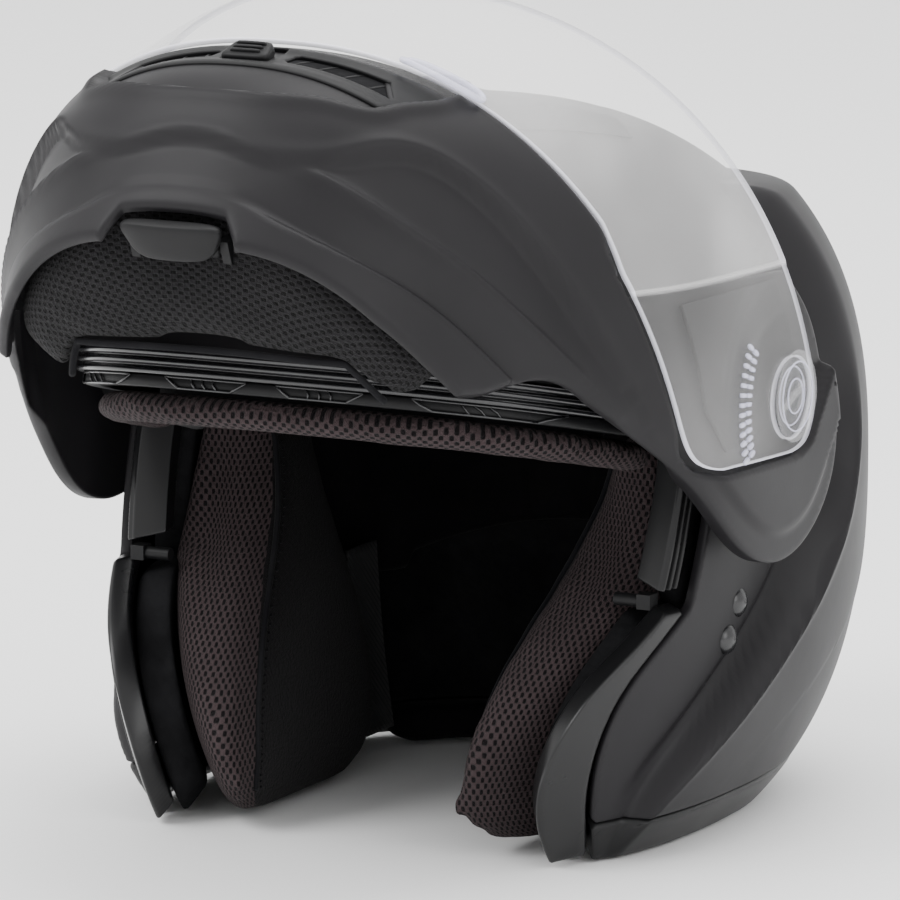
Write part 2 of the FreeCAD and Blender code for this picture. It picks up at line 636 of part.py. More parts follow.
# ---------------------------------------------------------------- build everything
def build():
    os.makedirs("parts", exist_ok=True)
    outer = body_form()
    save("outer_shell", make_shell(outer, body_form(WALL)))
    save("base_rim", make_rim(outer))
    save("eps_liner", make_eps(body_form(WALL + SOFT_GAP)))
    save("crown_pad", make_crown_pad())
    save("neck_roll", make_neck_roll())
    save("forehead_pad", make_forehead_pad())
    save("eyeport_gasket", eyeport_strip(0.0, -8.0, 0.3, GASKET_DEPTH))
    save("brow_vent_strip", eyeport_strip(-3.0, -12.0, GASKET_DEPTH + 0.3, VENT_STRIP_DEPTH))
    save("brow_pad", eyeport_strip(-5.0, -24.0, VENT_STRIP_DEPTH + 0.3, BROW_PAD_DEPTH, BROW_PAD_BACK_Y))
    save_pair("cheek_pad", make_cheek_pad())
    save_pair("cheek_backing", make_cheek_backing())
    save_pair("side_seal", make_side_seal())
    save_pair("jaw_trim", make_jaw_trim())
    save_pair("latch_striker", make_latch_striker())
    rivets = [rivet(place) for place in RIVETS]
    save("strap_rivets", Part.makeCompound(rivets + [mirrored(piece) for piece in rivets]))
    save_pair("pivot_boss", make_pivot_boss())
    save_pair("pivot_pin", make_pivot_pin())
    save("top_vent", make_top_vent())
    save("top_vent_slider", make_top_vent_slider())
    save("rear_vent", make_rear_vent())
    save("strap_left", make_strap_left())
    save("strap_right", make_strap_right())
    save("d_rings", make_d_rings())

    save("chin_bar_shell", raised(make_chin_shell()))
    save("chin_bar_liner", raised(make_chin_liner()))
    save("chin_mesh_pad", raised(make_mesh_pad()))
    save("chin_upper_seal", raised(make_upper_seal()))
    save("chin_vent_frame", raised(make_vent_frame()))
    save("chin_vent_slider", raised(make_vent_slider()))
    save("release_lever", raised(make_release_lever()))
    save("lever_bracket", raised(make_lever_axle()))
    hook = make_latch_hook()
    save("latch_hook_left", raised(hook))
    save("latch_hook_right", raised(mirrored(hook)))
    plate = make_shield_plate()
    save("shield_plate_left", raised(plate))
    save("shield_plate_right", raised(mirrored(plate)))
    hub = make_shield_hub()
    save("shield_hub_left", raised(hub))
    save("shield_hub_right", raised(mirrored(hub)))
    save("face_shield", raised(make_shield()))


build()
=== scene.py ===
"""Looks of a flip-up road helmet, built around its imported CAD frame.

Lengths in the shape functions are millimetres; meshes are written in metres.
"""
import math

import bmesh
import bpy
import numpy as np
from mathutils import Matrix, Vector
from mathutils.bvhtree import BVHTree


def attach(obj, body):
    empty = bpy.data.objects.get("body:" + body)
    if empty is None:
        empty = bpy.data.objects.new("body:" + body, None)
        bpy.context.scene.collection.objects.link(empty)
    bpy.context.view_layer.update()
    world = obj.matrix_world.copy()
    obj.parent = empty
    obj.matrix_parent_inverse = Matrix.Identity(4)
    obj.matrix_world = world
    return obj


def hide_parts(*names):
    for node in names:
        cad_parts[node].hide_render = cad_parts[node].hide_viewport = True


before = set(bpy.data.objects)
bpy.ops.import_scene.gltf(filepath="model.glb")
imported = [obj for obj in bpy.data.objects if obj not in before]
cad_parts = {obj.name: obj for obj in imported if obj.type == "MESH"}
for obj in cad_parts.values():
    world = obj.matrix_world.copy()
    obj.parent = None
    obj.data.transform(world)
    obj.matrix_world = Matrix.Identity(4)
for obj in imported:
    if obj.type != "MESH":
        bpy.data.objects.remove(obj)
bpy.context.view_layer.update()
MM = 0.001

# ---------------------------------------------------------------- the object's main forms
PIVOT_Z = 153.0
LIFT = math.radians(68.0)
CENTRE = np.array([0.0, 12.0, 115.0])

# Rounded forms about CENTRE: half width, front, rear, rise, drop, roundness power.
CROWN = (124.0, 152.0, 146.0, 128.0, 150.0, 2.25)
FLANK = (112.5, 138.0, 138.0, 123.0, 190.0, 2.25)
REAR = (127.0, 150.0, 151.0, 133.0, 148.0, 2.5)
EYEPORT = (106.0, 148.0, 146.0, 128.0, 150.0, 3.0)
CAVITY = (76.0, 100.0, 98.0, 88.0, 190.0, 2.2)

# Face form with the chin bar closed: height, half width, front reach.
FACE_LEVELS = np.array([
    (-6.0, 88.0, 136.0), (10.0, 92.0, 147.0), (25.0, 95.5, 158.0), (45.0, 104.5, 170.0),
    (65.0, 114.0, 169.5), (80.0, 122.0, 164.5), (91.0, 127.0, 160.0), (105.0, 130.0, 156.0),
    (120.0, 131.0, 152.0), (150.0, 131.0, 145.0), (171.0, 131.0, 138.0), (192.0, 131.0, 126.0)])
FACE_POWER = 2.3
WRAP = 145.0                       # radius that turns the wrap angle into millimetres
QUARTER = WRAP * math.pi / 2.0     # wrap distance from the front centre to the Y = 0 plane

BROW_FRONT = (-131.0, 176.0)
BROW_SLOPE = -0.23

# Curves in the side view, as (Y, Z).
SHELL_SIDE_EDGE = [(-13.0, 143.0), (-30.0, 85.0)]
TRIM_OUTER_EDGE = [(-31.0, 84.0), (-45.0, 72.5), (-58.0, 58.0), (-63.0, 42.0), (-62.0, 25.0),
                   (-56.0, 8.0), (-51.0, -3.0)]
TRIM_FRONT_EDGE = [(-42.0, 84.0), (-54.5, 74.0), (-70.0, 60.0), (-77.0, 47.0), (-79.5, 30.0), (-75.0, 14.0),
                   (-63.0, -3.0)]
GROOVE = [(52.0, 198.0), (61.0, 175.0), (65.5, 150.0), (64.0, 128.0), (54.0, 106.0), (34.0, 86.0),
          (10.0, 68.0), (-14.0, 50.0), (-33.0, 33.0), (-43.0, 16.0), (-46.0, -10.0)]
REAR_CREASE = [(70.0, 70.0), (95.0, 84.0), (130.0, 98.0), (170.0, 106.0)]
FLANK_TOP = [(-240.0, 200.0), (-131.0, 168.0), (-90.0, 160.0), (-50.0, 165.0), (0.0, 180.0), (50.0, 188.0)]
CHIN_NOTCH = [(-77.0, 19.5), (-73.0, 27.0), (-70.0, 42.0), (-64.0, 52.0), (-51.0, 60.0)]
CHIN_REAR_EDGE = [(-51.0, 60.0), (-29.0, 73.0), (4.0, 91.0), (30.0, 104.0), (44.0, 118.0), (51.0, 134.0),
                  (52.0, 152.0), (44.0, 172.0), (31.0, 182.0), (10.0, 185.5), (-14.0, 184.0), (-36.0, 176.0)]
RIM_Z = 14.0


# ---------------------------------------------------------------- numeric helpers
def cubic(xs, ys):
    """Natural cubic curve through points, as a function of arrays."""
    xs, ys = np.asarray(xs, float), np.asarray(ys, float)
    n, step = len(xs), np.diff(xs)
    system, right = np.eye(n), np.zeros(n)
    for i in range(1, n - 1):
        system[i, i - 1:i + 2] = step[i - 1], 2 * (step[i - 1] + step[i]), step[i]
        right[i] = 6 * ((ys[i + 1] - ys[i]) / step[i] - (ys[i] - ys[i - 1]) / step[i - 1])
    bend = np.linalg.solve(system, right)

    def value(x):
        x = np.clip(np.asarray(x, float), xs[0], xs[-1])
        k = np.clip(np.searchsorted(xs, x, side="right") - 1, 0, n - 2)
        a, b, h = xs[k + 1] - x, x - xs[k], step[k]
        return ((bend[k] * a ** 3 + bend[k + 1] * b ** 3) / (6 * h) + (ys[k] / h - bend[k] * h / 6) * a
                + (ys[k + 1] / h - bend[k + 1] * h / 6) * b)
    return value


def smooth_line(points, count=60):
    """Evenly spread points on a smooth curve through a few."""
    points = np.asarray(points, float)
    if len(points) == 2:
        share = np.linspace(0, 1, count)[:, None]
        return points[0] * (1 - share) + points[1] * share
    along = np.concatenate([[0], np.cumsum(np.linalg.norm(np.diff(points, axis=0), axis=1))])
    at = np.linspace(0, along[-1], count)
    return np.stack([cubic(along, points[:, k])(at) for k in range(points.shape[1])], axis=1)


def step_up(x, low, high):
    t = np.clip((x - low) / (high - low), 0.0, 1.0)
    return t * t * (3 - 2 * t)


def bump(x, width):
    return np.exp(-(x / width) ** 2)


def unit(vectors):
    return vectors / np.linalg.norm(vectors, axis=-1, keepdims=True)


def nearest_feet(points, starts, runs, block=4000):
    """For each block of points: its slice, the points, their nearest sides, the feet there and how far."""
    length2 = np.maximum((runs ** 2).sum(1), 1e-12)
    for first in range(0, len(points), block):
        p = points[first:first + block]
        t = np.clip(((p[:, None] - starts) * runs).sum(2) / length2, 0, 1)
        feet = starts + t[..., None] * runs
        d2 = ((p[:, None] - feet) ** 2).sum(2)
        side = d2.argmin(1)
        row = np.arange(len(side))
        yield slice(first, first + block), p, side, feet[row, side], np.sqrt(d2[row, side])


def line_distance(points, line):
    """Distance from 2-D points to a polyline; its sign is positive on the line's left."""
    runs = line[1:] - line[:-1]
    out = np.empty(len(points))
    for at, p, k, foot, away in nearest_feet(points, line[:-1], runs):
        gap = p - foot
        turn = runs[k, 0] * gap[:, 1] - runs[k, 1] * gap[:, 0]
        out[at] = away * np.where(turn >= 0, 1, -1)
    return out


def loop_distance(points, loop):
    """Signed distance to a closed outline, negative inside, and the nearest outline points."""
    ends = np.roll(loop, -1, axis=0)
    runs = ends - loop
    climb = np.where(runs[:, 1] == 0, 1e-12, runs[:, 1])
    distance, nearest = np.empty(len(points)), np.empty((len(points), 2))
    for at, p, _, foot, away in nearest_feet(points, loop, runs):
        x, y = p[:, :1], p[:, 1:]
        spans = (loop[:, 1] > y) != (ends[:, 1] > y)
        crosses = spans & (x < loop[:, 0] + (y - loop[:, 1]) * runs[:, 0] / climb)
        inside = crosses.sum(1) % 2 == 1
        distance[at] = away * np.where(inside, -1, 1)
        nearest[at] = foot
    return distance, nearest


# ---------------------------------------------------------------- surfaces
def form_radius(direction, form, grow=0.0):
    half, front, rear, rise, drop, power = form
    along = np.where(direction[..., 1] > 0, rear, front) + grow
    up = np.where(direction[..., 2] > 0, rise, drop) + grow
    total = (np.abs(direction[..., 0] / (half + grow)) ** power + np.abs(direction[..., 1] / along) ** power
             + np.abs(direction[..., 2] / up) ** power)
    return total ** (-1.0 / power)


def form_x(form, y, z, grow=0.0):
    """Half width of a form at a place in the side view."""
    half, front, rear, rise, drop, power = form
    y, z = np.asarray(y, float) - CENTRE[1], np.asarray(z, float) - CENTRE[2]
    along = np.where(y > 0, rear, front) + grow
    up = np.where(z > 0, rise, drop) + grow
    left = 1.0 - np.abs(y / along) ** power - np.abs(z / up) ** power
    return (half + grow) * np.maximum(left, 1e-6) ** (1.0 / power)


def brow_z(y, below=0.0):
    return BROW_FRONT[1] + BROW_SLOPE * (y - BROW_FRONT[0]) - below


MAP_RADIUS = 140.0
MAP_AXES = np.array([[1.0, 0.0, 0.0], [0.0, 0.8, -0.6], [0.0, 0.6, 0.8]])


def body_direction(u, v):
    """Direction from CENTRE for a place on the body's flat map, which is centred on the upper back."""
    rho = np.hypot(u, v)
    angle = rho / MAP_RADIUS
    share = np.where(rho > 1e-6, np.sin(angle) / np.maximum(rho, 1e-6), 1.0 / MAP_RADIUS)
    return (np.cos(angle)[..., None] * MAP_AXES[2] + (share * u)[..., None] * MAP_AXES[0]
            + (share * v)[..., None] * MAP_AXES[1])


def body_map(points):
    """Place on that flat map of 3-D points."""
    d = unit(points - CENTRE)
    across, down, axis = (d @ MAP_AXES[k] for k in range(3))
    angle, side = np.arccos(np.clip(axis, -1, 1)), np.hypot(across, down)
    scale = MAP_RADIUS * angle / np.maximum(side, 1e-9)
    return np.stack([across * scale, down * scale], axis=-1)


def form_surface(form, base=0.0):
    """Surface function of a form's offset, on the body's flat map."""
    def surface(u, v, grow=0.0):
        d = body_direction(u, v)
        return CENTRE + form_radius(d, form, base + grow)[..., None] * d
    return surface


flank_top = cubic(*zip(*FLANK_TOP))
groove_y = cubic(*zip(*[(z, y) for y, z in reversed(GROOVE)]))


def rear_depth(y, z):
    """How far a place in the side view lies inside the raised rear part."""
    from_groove = (y - groove_y(z)) * 0.8
    from_spoiler = 199.0 - 0.08 * (y - 52.0) - z
    return np.minimum(from_groove, from_spoiler)


def body_point(u, v, grow=0.0):
    """Point of the helmet's outer body at a place on its flat map."""
    d = body_direction(u, v)
    flank = form_radius(d, FLANK, grow)
    place = CENTRE + flank[..., None] * d
    y, z = place[..., 1], place[..., 2]
    crown = form_radius(d, CROWN, grow)
    rear = form_radius(d, REAR, grow)
    radius = flank + step_up(z - flank_top(y), -3.0, 3.0) * np.maximum(crown - flank, 0)
    soft = 2.5 + 8.5 * step_up(z, 120.0, 165.0)
    blend = step_up(rear_depth(y, z) + soft - 2.5, -soft, soft)
    radius = np.maximum(radius, flank + blend * np.maximum(rear - flank, 0))
    return CENTRE + radius[..., None] * d


half_width = cubic(FACE_LEVELS[:, 0], FACE_LEVELS[:, 1])
front_reach = cubic(FACE_LEVELS[:, 0], FACE_LEVELS[:, 2])


def face_point(s, z, grow=0.0):
    """Point of the face form, chin bar closed; s runs round it from the front centre, z is height."""
    w, f = half_width(z) + grow, front_reach(z) + grow
    turn = np.clip(np.abs(s) / WRAP, 0, math.pi / 2)
    across, along = np.sin(turn), np.cos(turn)
    radius = (np.abs(across / w) ** FACE_POWER + np.abs(along / f) ** FACE_POWER) ** (-1.0 / FACE_POWER)
    y = np.where(np.abs(s) > QUARTER, np.abs(s) - QUARTER, -radius * along)
    return np.stack([radius * across * np.sign(s), y, z * np.ones_like(y)], axis=-1)


def face_s(y, z):
    """Wrap distance of a side view point on the face form."""
    y, z = np.asarray(y, float), np.asarray(z, float)
    share = np.clip(np.abs(y) / front_reach(z), 0, 1)
    x = half_width(z) * (1 - share ** FACE_POWER) ** (1 / FACE_POWER)
    return np.where(y > 0, QUARTER + y, WRAP * np.arctan2(x, np.abs(y)))


def turned(points, angle):
    """Points turned about the axis of the side hinges."""
    y, z = points[..., 1], points[..., 2] - PIVOT_Z
    return np.stack([points[..., 0], y * math.cos(angle) + z * math.sin(angle),
                     PIVOT_Z - y * math.sin(angle) + z * math.cos(angle)], axis=-1)


def raised(points):
    """Closed-pose points in the raised pose."""
    return turned(points, LIFT)


def closed_pose(points):
    """Raised points back in the closed pose."""
    return turned(points, -LIFT)


def raised_parts(parts):
    return [(raised(points), faces) for points, faces in parts]


def face_map(side):
    """Side view points, as (Y, Z), on the face form's flat map."""
    return np.stack([face_s(side[:, 0], side[:, 1]), side[:, 1]], axis=1)


def raised_face(s, z, grow=0.0):
    return raised(face_point(s, z, grow))


# ---------------------------------------------------------------- mesh building
def make_mesh(name, points, faces):
    """New smooth-shaded object from points in millimetres and faces."""
    mesh = bpy.data.meshes.new(name)
    mesh.from_pydata((np.asarray(points) * MM).tolist(), [], [list(f) for f in faces])
    mesh.polygons.foreach_set("use_smooth", [True] * len(mesh.polygons))
    mesh.update()
    obj = bpy.data.objects.new(name, mesh)
    bpy.context.scene.collection.objects.link(obj)
    return obj


def tidy_normals(obj):
    bm = bmesh.new()
    bm.from_mesh(obj.data)
    bmesh.ops.recalc_face_normals(bm, faces=bm.faces)
    bm.to_mesh(obj.data)
    bm.free()
    return obj


def mirror_copy(obj, name):
    """The same piece on the other side."""
    mesh = obj.data.copy()
    co = np.empty(len(mesh.vertices) * 3)
    mesh.vertices.foreach_get("co", co)
    co[::3] *= -1
    mesh.vertices.foreach_set("co", co)
    mesh.flip_normals()
    mesh.update()
    copy = bpy.data.objects.new(name, mesh)
    bpy.context.scene.collection.objects.link(copy)
    return copy


def lattice_cells(kept, snapped, where):
    """Quads and corner triangles of a lattice whose corners all count."""
    nu, nv = kept.shape
    index = np.arange(nu * nv).reshape(nu, nv)
    corners = np.stack([index[:-1, :-1], index[1:, :-1], index[1:, 1:], index[:-1, 1:]], axis=-1)
    corners = corners.reshape(-1, 4)
    good = kept.ravel()[corners]
    faces = [tuple(c) for c in corners[good.all(1)].tolist()]
    flat_snap = snapped.ravel()
    for cell, ok in zip(corners[good.sum(1) == 3], good[good.sum(1) == 3]):
        tri = cell[ok]
        a, b, c = where[tri]
        area = abs((b[0] - a[0]) * (c[1] - a[1]) - (b[1] - a[1]) * (c[0] - a[0])) / 2
        if not flat_snap[tri].all() or area > 0.12:
            faces.append(tuple(tri.tolist()))
    return faces


def open_edges(faces):
    """Directed edges that only one face has."""
    edges = set()
    for f in faces:
        for k in range(len(f)):
            edges.add((f[k], f[(k + 1) % len(f)]))
    return [(a, b) for a, b in edges if (b, a) not in edges]


def panel(name, outline, surface, spacing, thickness, holes=(), height=None, edge=None, both=True,
          depth=None):
    """Shell piece with rounded edges: a trimmed lattice on a surface, its inner face and its rim.

    outline and holes are closed loops on the surface's flat map, for its left half when both is true.
    height(u, v) lifts the outer face and depth(u, v) sets where the inner face lies.
    """
    edge = min(thickness / 2, 1.2) if edge is None else edge
    low, high = outline.min(0) - 2 * spacing, outline.max(0) + 2 * spacing
    if both:
        low[0] = -high[0]
    count_u = int(math.ceil((high[0] - low[0]) / spacing))
    count_u += count_u % 2
    us = np.linspace(low[0], high[0], count_u + 1)
    vs = np.arange(low[1], high[1], spacing)
    grid_u, grid_v = np.meshgrid(us, vs, indexing="ij")
    where = np.stack([grid_u.ravel(), grid_v.ravel()], axis=1)
    folded = where.copy()
    if both:
        folded[:, 0] = np.abs(folded[:, 0])
    distance, nearest = loop_distance(folded, outline)
    distance = distance + edge
    toward = nearest - folded
    for hole in holes:
        hole_distance, hole_nearest = loop_distance(folded, hole)
        hole_distance = edge - hole_distance
        nearer = hole_distance > distance
        distance = np.where(nearer, hole_distance, distance)
        toward[nearer] = (hole_nearest - folded)[nearer]
    if both:
        toward[:, 0] *= np.sign(where[:, 0])
    length = np.maximum(np.linalg.norm(toward, axis=1), 1e-9)
    way = toward / length[:, None] * np.where(distance - edge < 0, 1, -1)[:, None]
    snapped = np.abs(distance) < 0.55 * spacing
    moved = where - way * distance[:, None]
    where = np.where(snapped[:, None], moved, where)
    kept = (distance < 0) | snapped
    faces = lattice_cells(kept.reshape(grid_u.shape), snapped.reshape(grid_u.shape), where)
    used = np.unique(np.concatenate([np.array(f) for f in faces]))
    renumber = np.full(len(where), -1)
    renumber[used] = np.arange(len(used))
    where = where[used]
    faces = [tuple(renumber[list(f)].tolist()) for f in faces]
    u, v = where[:, 0], where[:, 1]
    lift = np.zeros(len(u)) if height is None else height(u, v)
    sink = np.full(len(u), -thickness) if depth is None else depth(u, v)
    outer, inner = surface(u, v, lift), surface(u, v, sink)
    return close_panel(name, faces, where, lift, sink, outer, inner, surface, edge)


RIM_POINTS = {}          # panel name: the first of its rim's points


def close_panel(name, faces, where, lift, sink, outer, inner, surface, edge):
    """Join a panel's outer and inner faces by a rounded rim."""
    count = len(where)
    rim_edges = open_edges(faces)
    outward = np.zeros((count, 2))
    for a, b in rim_edges:
        run = where[b] - where[a]
        outward[a] += (run[1], -run[0])
        outward[b] += (run[1], -run[0])
    rim = np.array(sorted({k for pair in rim_edges for k in pair}))
    normal = outward[rim] / np.maximum(np.linalg.norm(outward[rim], axis=1), 1e-9)[:, None]
    half = (lift[rim] - sink[rim]) / 2
    middle = (lift[rim] + sink[rim]) / 2
    points, rings = [outer, inner], []
    total = 2 * count
    for degrees in (35, 65, 90, 115, 145):
        out, rise = edge * math.sin(math.radians(degrees)), math.cos(math.radians(degrees))
        corner = np.minimum(half, edge)
        offset = middle + np.sign(rise) * (half - corner) + corner * rise
        place = where[rim] + normal * out
        points.append(surface(place[:, 0], place[:, 1], offset))
        ring = np.full(count, -1)
        ring[rim] = total + np.arange(len(rim))
        rings.append(ring)
        total += len(rim)
    all_faces = list(faces) + [tuple(reversed([k + count for k in f])) for f in faces]
    RIM_POINTS[name] = 2 * count
    chain = [np.arange(count)] + rings + [np.arange(count) + count]
    for near, far in zip(chain[:-1], chain[1:]):
        all_faces += [(int(near[b]), int(near[a]), int(far[a]), int(far[b])) for a, b in rim_edges]
    obj = make_mesh(name, np.vstack(points), all_faces)
    sample = list(faces[len(faces) // 2][:3])
    a, b, c = outer[sample]
    if np.cross(b - a, c - a) @ (a - inner[sample[0]]) < 0:
        obj.data.flip_normals()
    return obj


def ring_faces(rows, sides, closing_shift=None):
    """Quads between rows of points, and a face over each end.

    With a shift, in points, the last row joins on to the first one instead.
    """
    closed = closing_shift is not None
    faces = []
    for r in range(rows if closed else rows - 1):
        n = (r + 1) % rows
        shift = closing_shift if closed and n == 0 else 0
        for c in range(sides):
            d = (c + 1) % sides
            faces.append((r * sides + c, n * sides + (c + shift) % sides, n * sides + (d + shift) % sides,
                          r * sides + d))
    if not closed:
        faces.append(tuple(range(sides)))
        faces.append(tuple(range((rows - 1) * sides, rows * sides)))
    return faces


def sweep(name, path, profile):
    """Bar from a closed profile placed along a path: path gives (point, out, up) arrays."""
    place, out, up = path
    profile = np.asarray(profile, float)
    points = (place[:, None] + profile[None, :, 0, None] * out[:, None]
              + profile[None, :, 1, None] * up[:, None]).reshape(-1, 3)
    return tidy_normals(make_mesh(name, points, ring_faces(len(place), len(profile))))


def tube_part(points, radius, sides=8, closed=False):
    """Round bar along points, as (points, faces)."""
    points = np.asarray(points, float)
    run = np.roll(points, -1, 0) - np.roll(points, 1, 0) if closed else np.gradient(points, axis=0)
    run /= np.maximum(np.linalg.norm(run, axis=1, keepdims=True), 1e-9)
    side = np.cross(run[0], [0.13, 0.21, 0.97])
    turn = np.arange(sides) * 2 * math.pi / sides
    rows = []
    for point, ahead in zip(points, run):
        side = unit(side - ahead * (side @ ahead))
        other = np.cross(ahead, side)
        rows.append(point + radius * (np.cos(turn)[:, None] * side + np.sin(turn)[:, None] * other))
    shift = None
    if closed:
        gaps = [np.linalg.norm(np.roll(rows[0], -k, 0) - rows[-1], axis=1).sum() for k in range(sides)]
        shift = int(np.argmin(gaps))
    return np.vstack(rows), ring_faces(len(rows), sides, shift)


def lathe_part(profile, centre, side=1.0, count=48):
    """Turned part about an X axis; profile is (radius, X offset) from the middle outwards."""
    turn = np.arange(count) * 2 * math.pi / count
    points = []
    for radius, offset in profile:
        points.append(np.stack([np.full(count, centre[0] + side * offset), centre[1] + radius * np.cos(turn),
                                centre[2] + radius * np.sin(turn)], axis=1))
    return np.vstack(points), ring_faces(len(profile), count)


def rounded_cube(n, power):
    """Points (a, b, c) on a rounded cube that spans -1 to 1, and its quads."""
    points, faces = cube_lattice(n)
    radius = (np.abs(points) ** power).sum(1) ** (-1.0 / power)
    return (points * radius[:, None]).T, faces


def rounded_part(place, n=8, power=5.0):
    """Rounded block carried into space by place(a, b, c)."""
    cube, faces = rounded_cube(n, power)
    return np.stack(place(*cube), axis=-1), faces


def joined(name, parts):
    """One object from several (points, faces)."""
    points, faces, start = [], [], 0
    for part_points, part_faces in parts:
        points.append(part_points)
        faces += [tuple(k + start for k in f) for f in part_faces]
        start += len(part_points)
    return tidy_normals(make_mesh(name, np.vstack(points), faces))


def tapered_sweep(name, place, out, up, half_out, half_up, sides=20, power=3.0, taper=9.0):
    """Padded roll along a path, with a rounded section that closes in over the last millimetres."""
    turn = np.arange(sides) * 2 * math.pi / sides
    c, s = np.cos(turn), np.sin(turn)
    c, s = np.sign(c) * np.abs(c) ** (2 / power), np.sign(s) * np.abs(s) ** (2 / power)
    along = np.concatenate([[0], np.cumsum(np.linalg.norm(np.diff(place, axis=0), axis=1))])
    end = np.minimum(along, along[-1] - along)
    scale = np.sqrt(np.clip(1 - (1 - np.clip(end / taper, 0, 1)) ** 2, 0.02, 1))[:, None]
    points = (place[:, None] + (scale * half_out[:, None] * c)[..., None] * out[:, None]
              + (scale * half_up[:, None] * s)[..., None] * up[:, None])
    return tidy_normals(make_mesh(name, points.reshape(-1, 3), ring_faces(len(place), sides)))


def cube_lattice(n):
    """Points on the cube [-1, 1]^3, welded, and its quads."""
    line = np.linspace(-1, 1, n + 1)
    points, faces, seen = [], [], {}

    def number(p):
        key = tuple(int(round((c + 1) * n / 2)) for c in p)
        if key not in seen:
            seen[key] = len(points)
            points.append(p)
        return seen[key]

    for axis in range(3):
        for side in (-1.0, 1.0):
            for i in range(n):
                for j in range(n):
                    quad = []
                    for di, dj in ((0, 0), (1, 0), (1, 1), (0, 1)):
                        p = [0.0, 0.0, 0.0]
                        p[axis], p[(axis + 1) % 3], p[(axis + 2) % 3] = side, line[i + di], line[j + dj]
                        quad.append(number(tuple(p)))
                    faces.append(tuple(quad if side > 0 else reversed(quad)))
    return np.array(points), faces


def pillow(name, place, n=24, power=4.0):
    """Closed cushion: a rounded cube carried into space by place(a, b, c)."""
    cube, faces = rounded_cube(n, power)
    return tidy_normals(make_mesh(name, place(*cube), faces))


CLOTH_FRAMES = 20
CLOTH_STIFFNESS = 25.0


def puffed(obj, pressure):
    """Vertices, in metres, of a cushion that a cloth simulation has blown up."""
    scene = bpy.context.scene
    cloth = obj.modifiers.new("cloth", "CLOTH")
    cloth.settings.use_pressure = True
    cloth.settings.uniform_pressure_force = pressure
    cloth.settings.effector_weights.gravity = 0.0
    cloth.settings.tension_stiffness = CLOTH_STIFFNESS
    cloth.settings.compression_stiffness = CLOTH_STIFFNESS
    cloth.settings.bending_stiffness = 2.0
    cloth.point_cache.frame_start, cloth.point_cache.frame_end = 1, CLOTH_FRAMES
    for number in range(1, CLOTH_FRAMES + 1):
        scene.frame_set(number)
    bpy.ops.object.modifier_apply(modifier="cloth")
    scene.frame_set(1)
    return vertices_mm(obj) * MM


def inflate(obj, voxel, pressure, cap):
    """Puff a cushion up, by no more than cap, and soften it; it ends as a plain mesh."""
    bpy.context.view_layer.objects.active = obj
    for other in bpy.context.selected_objects:
        other.select_set(False)
    obj.select_set(True)
    remesh = obj.modifiers.new("remesh", "REMESH")
    remesh.mode = "VOXEL"
    remesh.voxel_size = voxel
    remesh.use_smooth_shade = True
    bpy.ops.object.modifier_apply(modifier="remesh")
    rest = vertices_mm(obj) * MM
    gap = puffed(obj, pressure) - rest
    far = np.linalg.norm(gap, axis=1, keepdims=True)
    gap *= np.minimum(1.0, cap / np.maximum(far, 1e-9))
    obj.data.vertices.foreach_set("co", (rest + gap).ravel())
    soften = obj.modifiers.new("soften", "SMOOTH")
    soften.factor = 0.5
    soften.iterations = 3
    bpy.ops.object.modifier_apply(modifier="soften")
    finer = obj.modifiers.new("finer", "SUBSURF")
    finer.levels = finer.render_levels = 1
    bpy.ops.object.modifier_apply(modifier="finer")
    obj.data.polygons.foreach_set("use_smooth", [True] * len(obj.data.polygons))
    return obj


def vertices_mm(obj):
    co = np.empty(len(obj.data.vertices) * 3)
    obj.data.vertices.foreach_get("co", co)
    return co.reshape(-1, 3) / MM


def weave_map(obj, across, along, beyond_seam=None):
    """Store flat cloth coordinates, in millimetres, and the distance beyond the seam where plush begins."""
    layer = obj.data.attributes.new("weave", "FLOAT_VECTOR", "POINT")
    flat = np.full((len(obj.data.vertices), 3), -50.0, np.float32)
    flat[:, 0], flat[:, 1] = across, along
    if beyond_seam is not None:
        flat[:, 2] = beyond_seam
    layer.data.foreach_set("vector", flat.ravel())


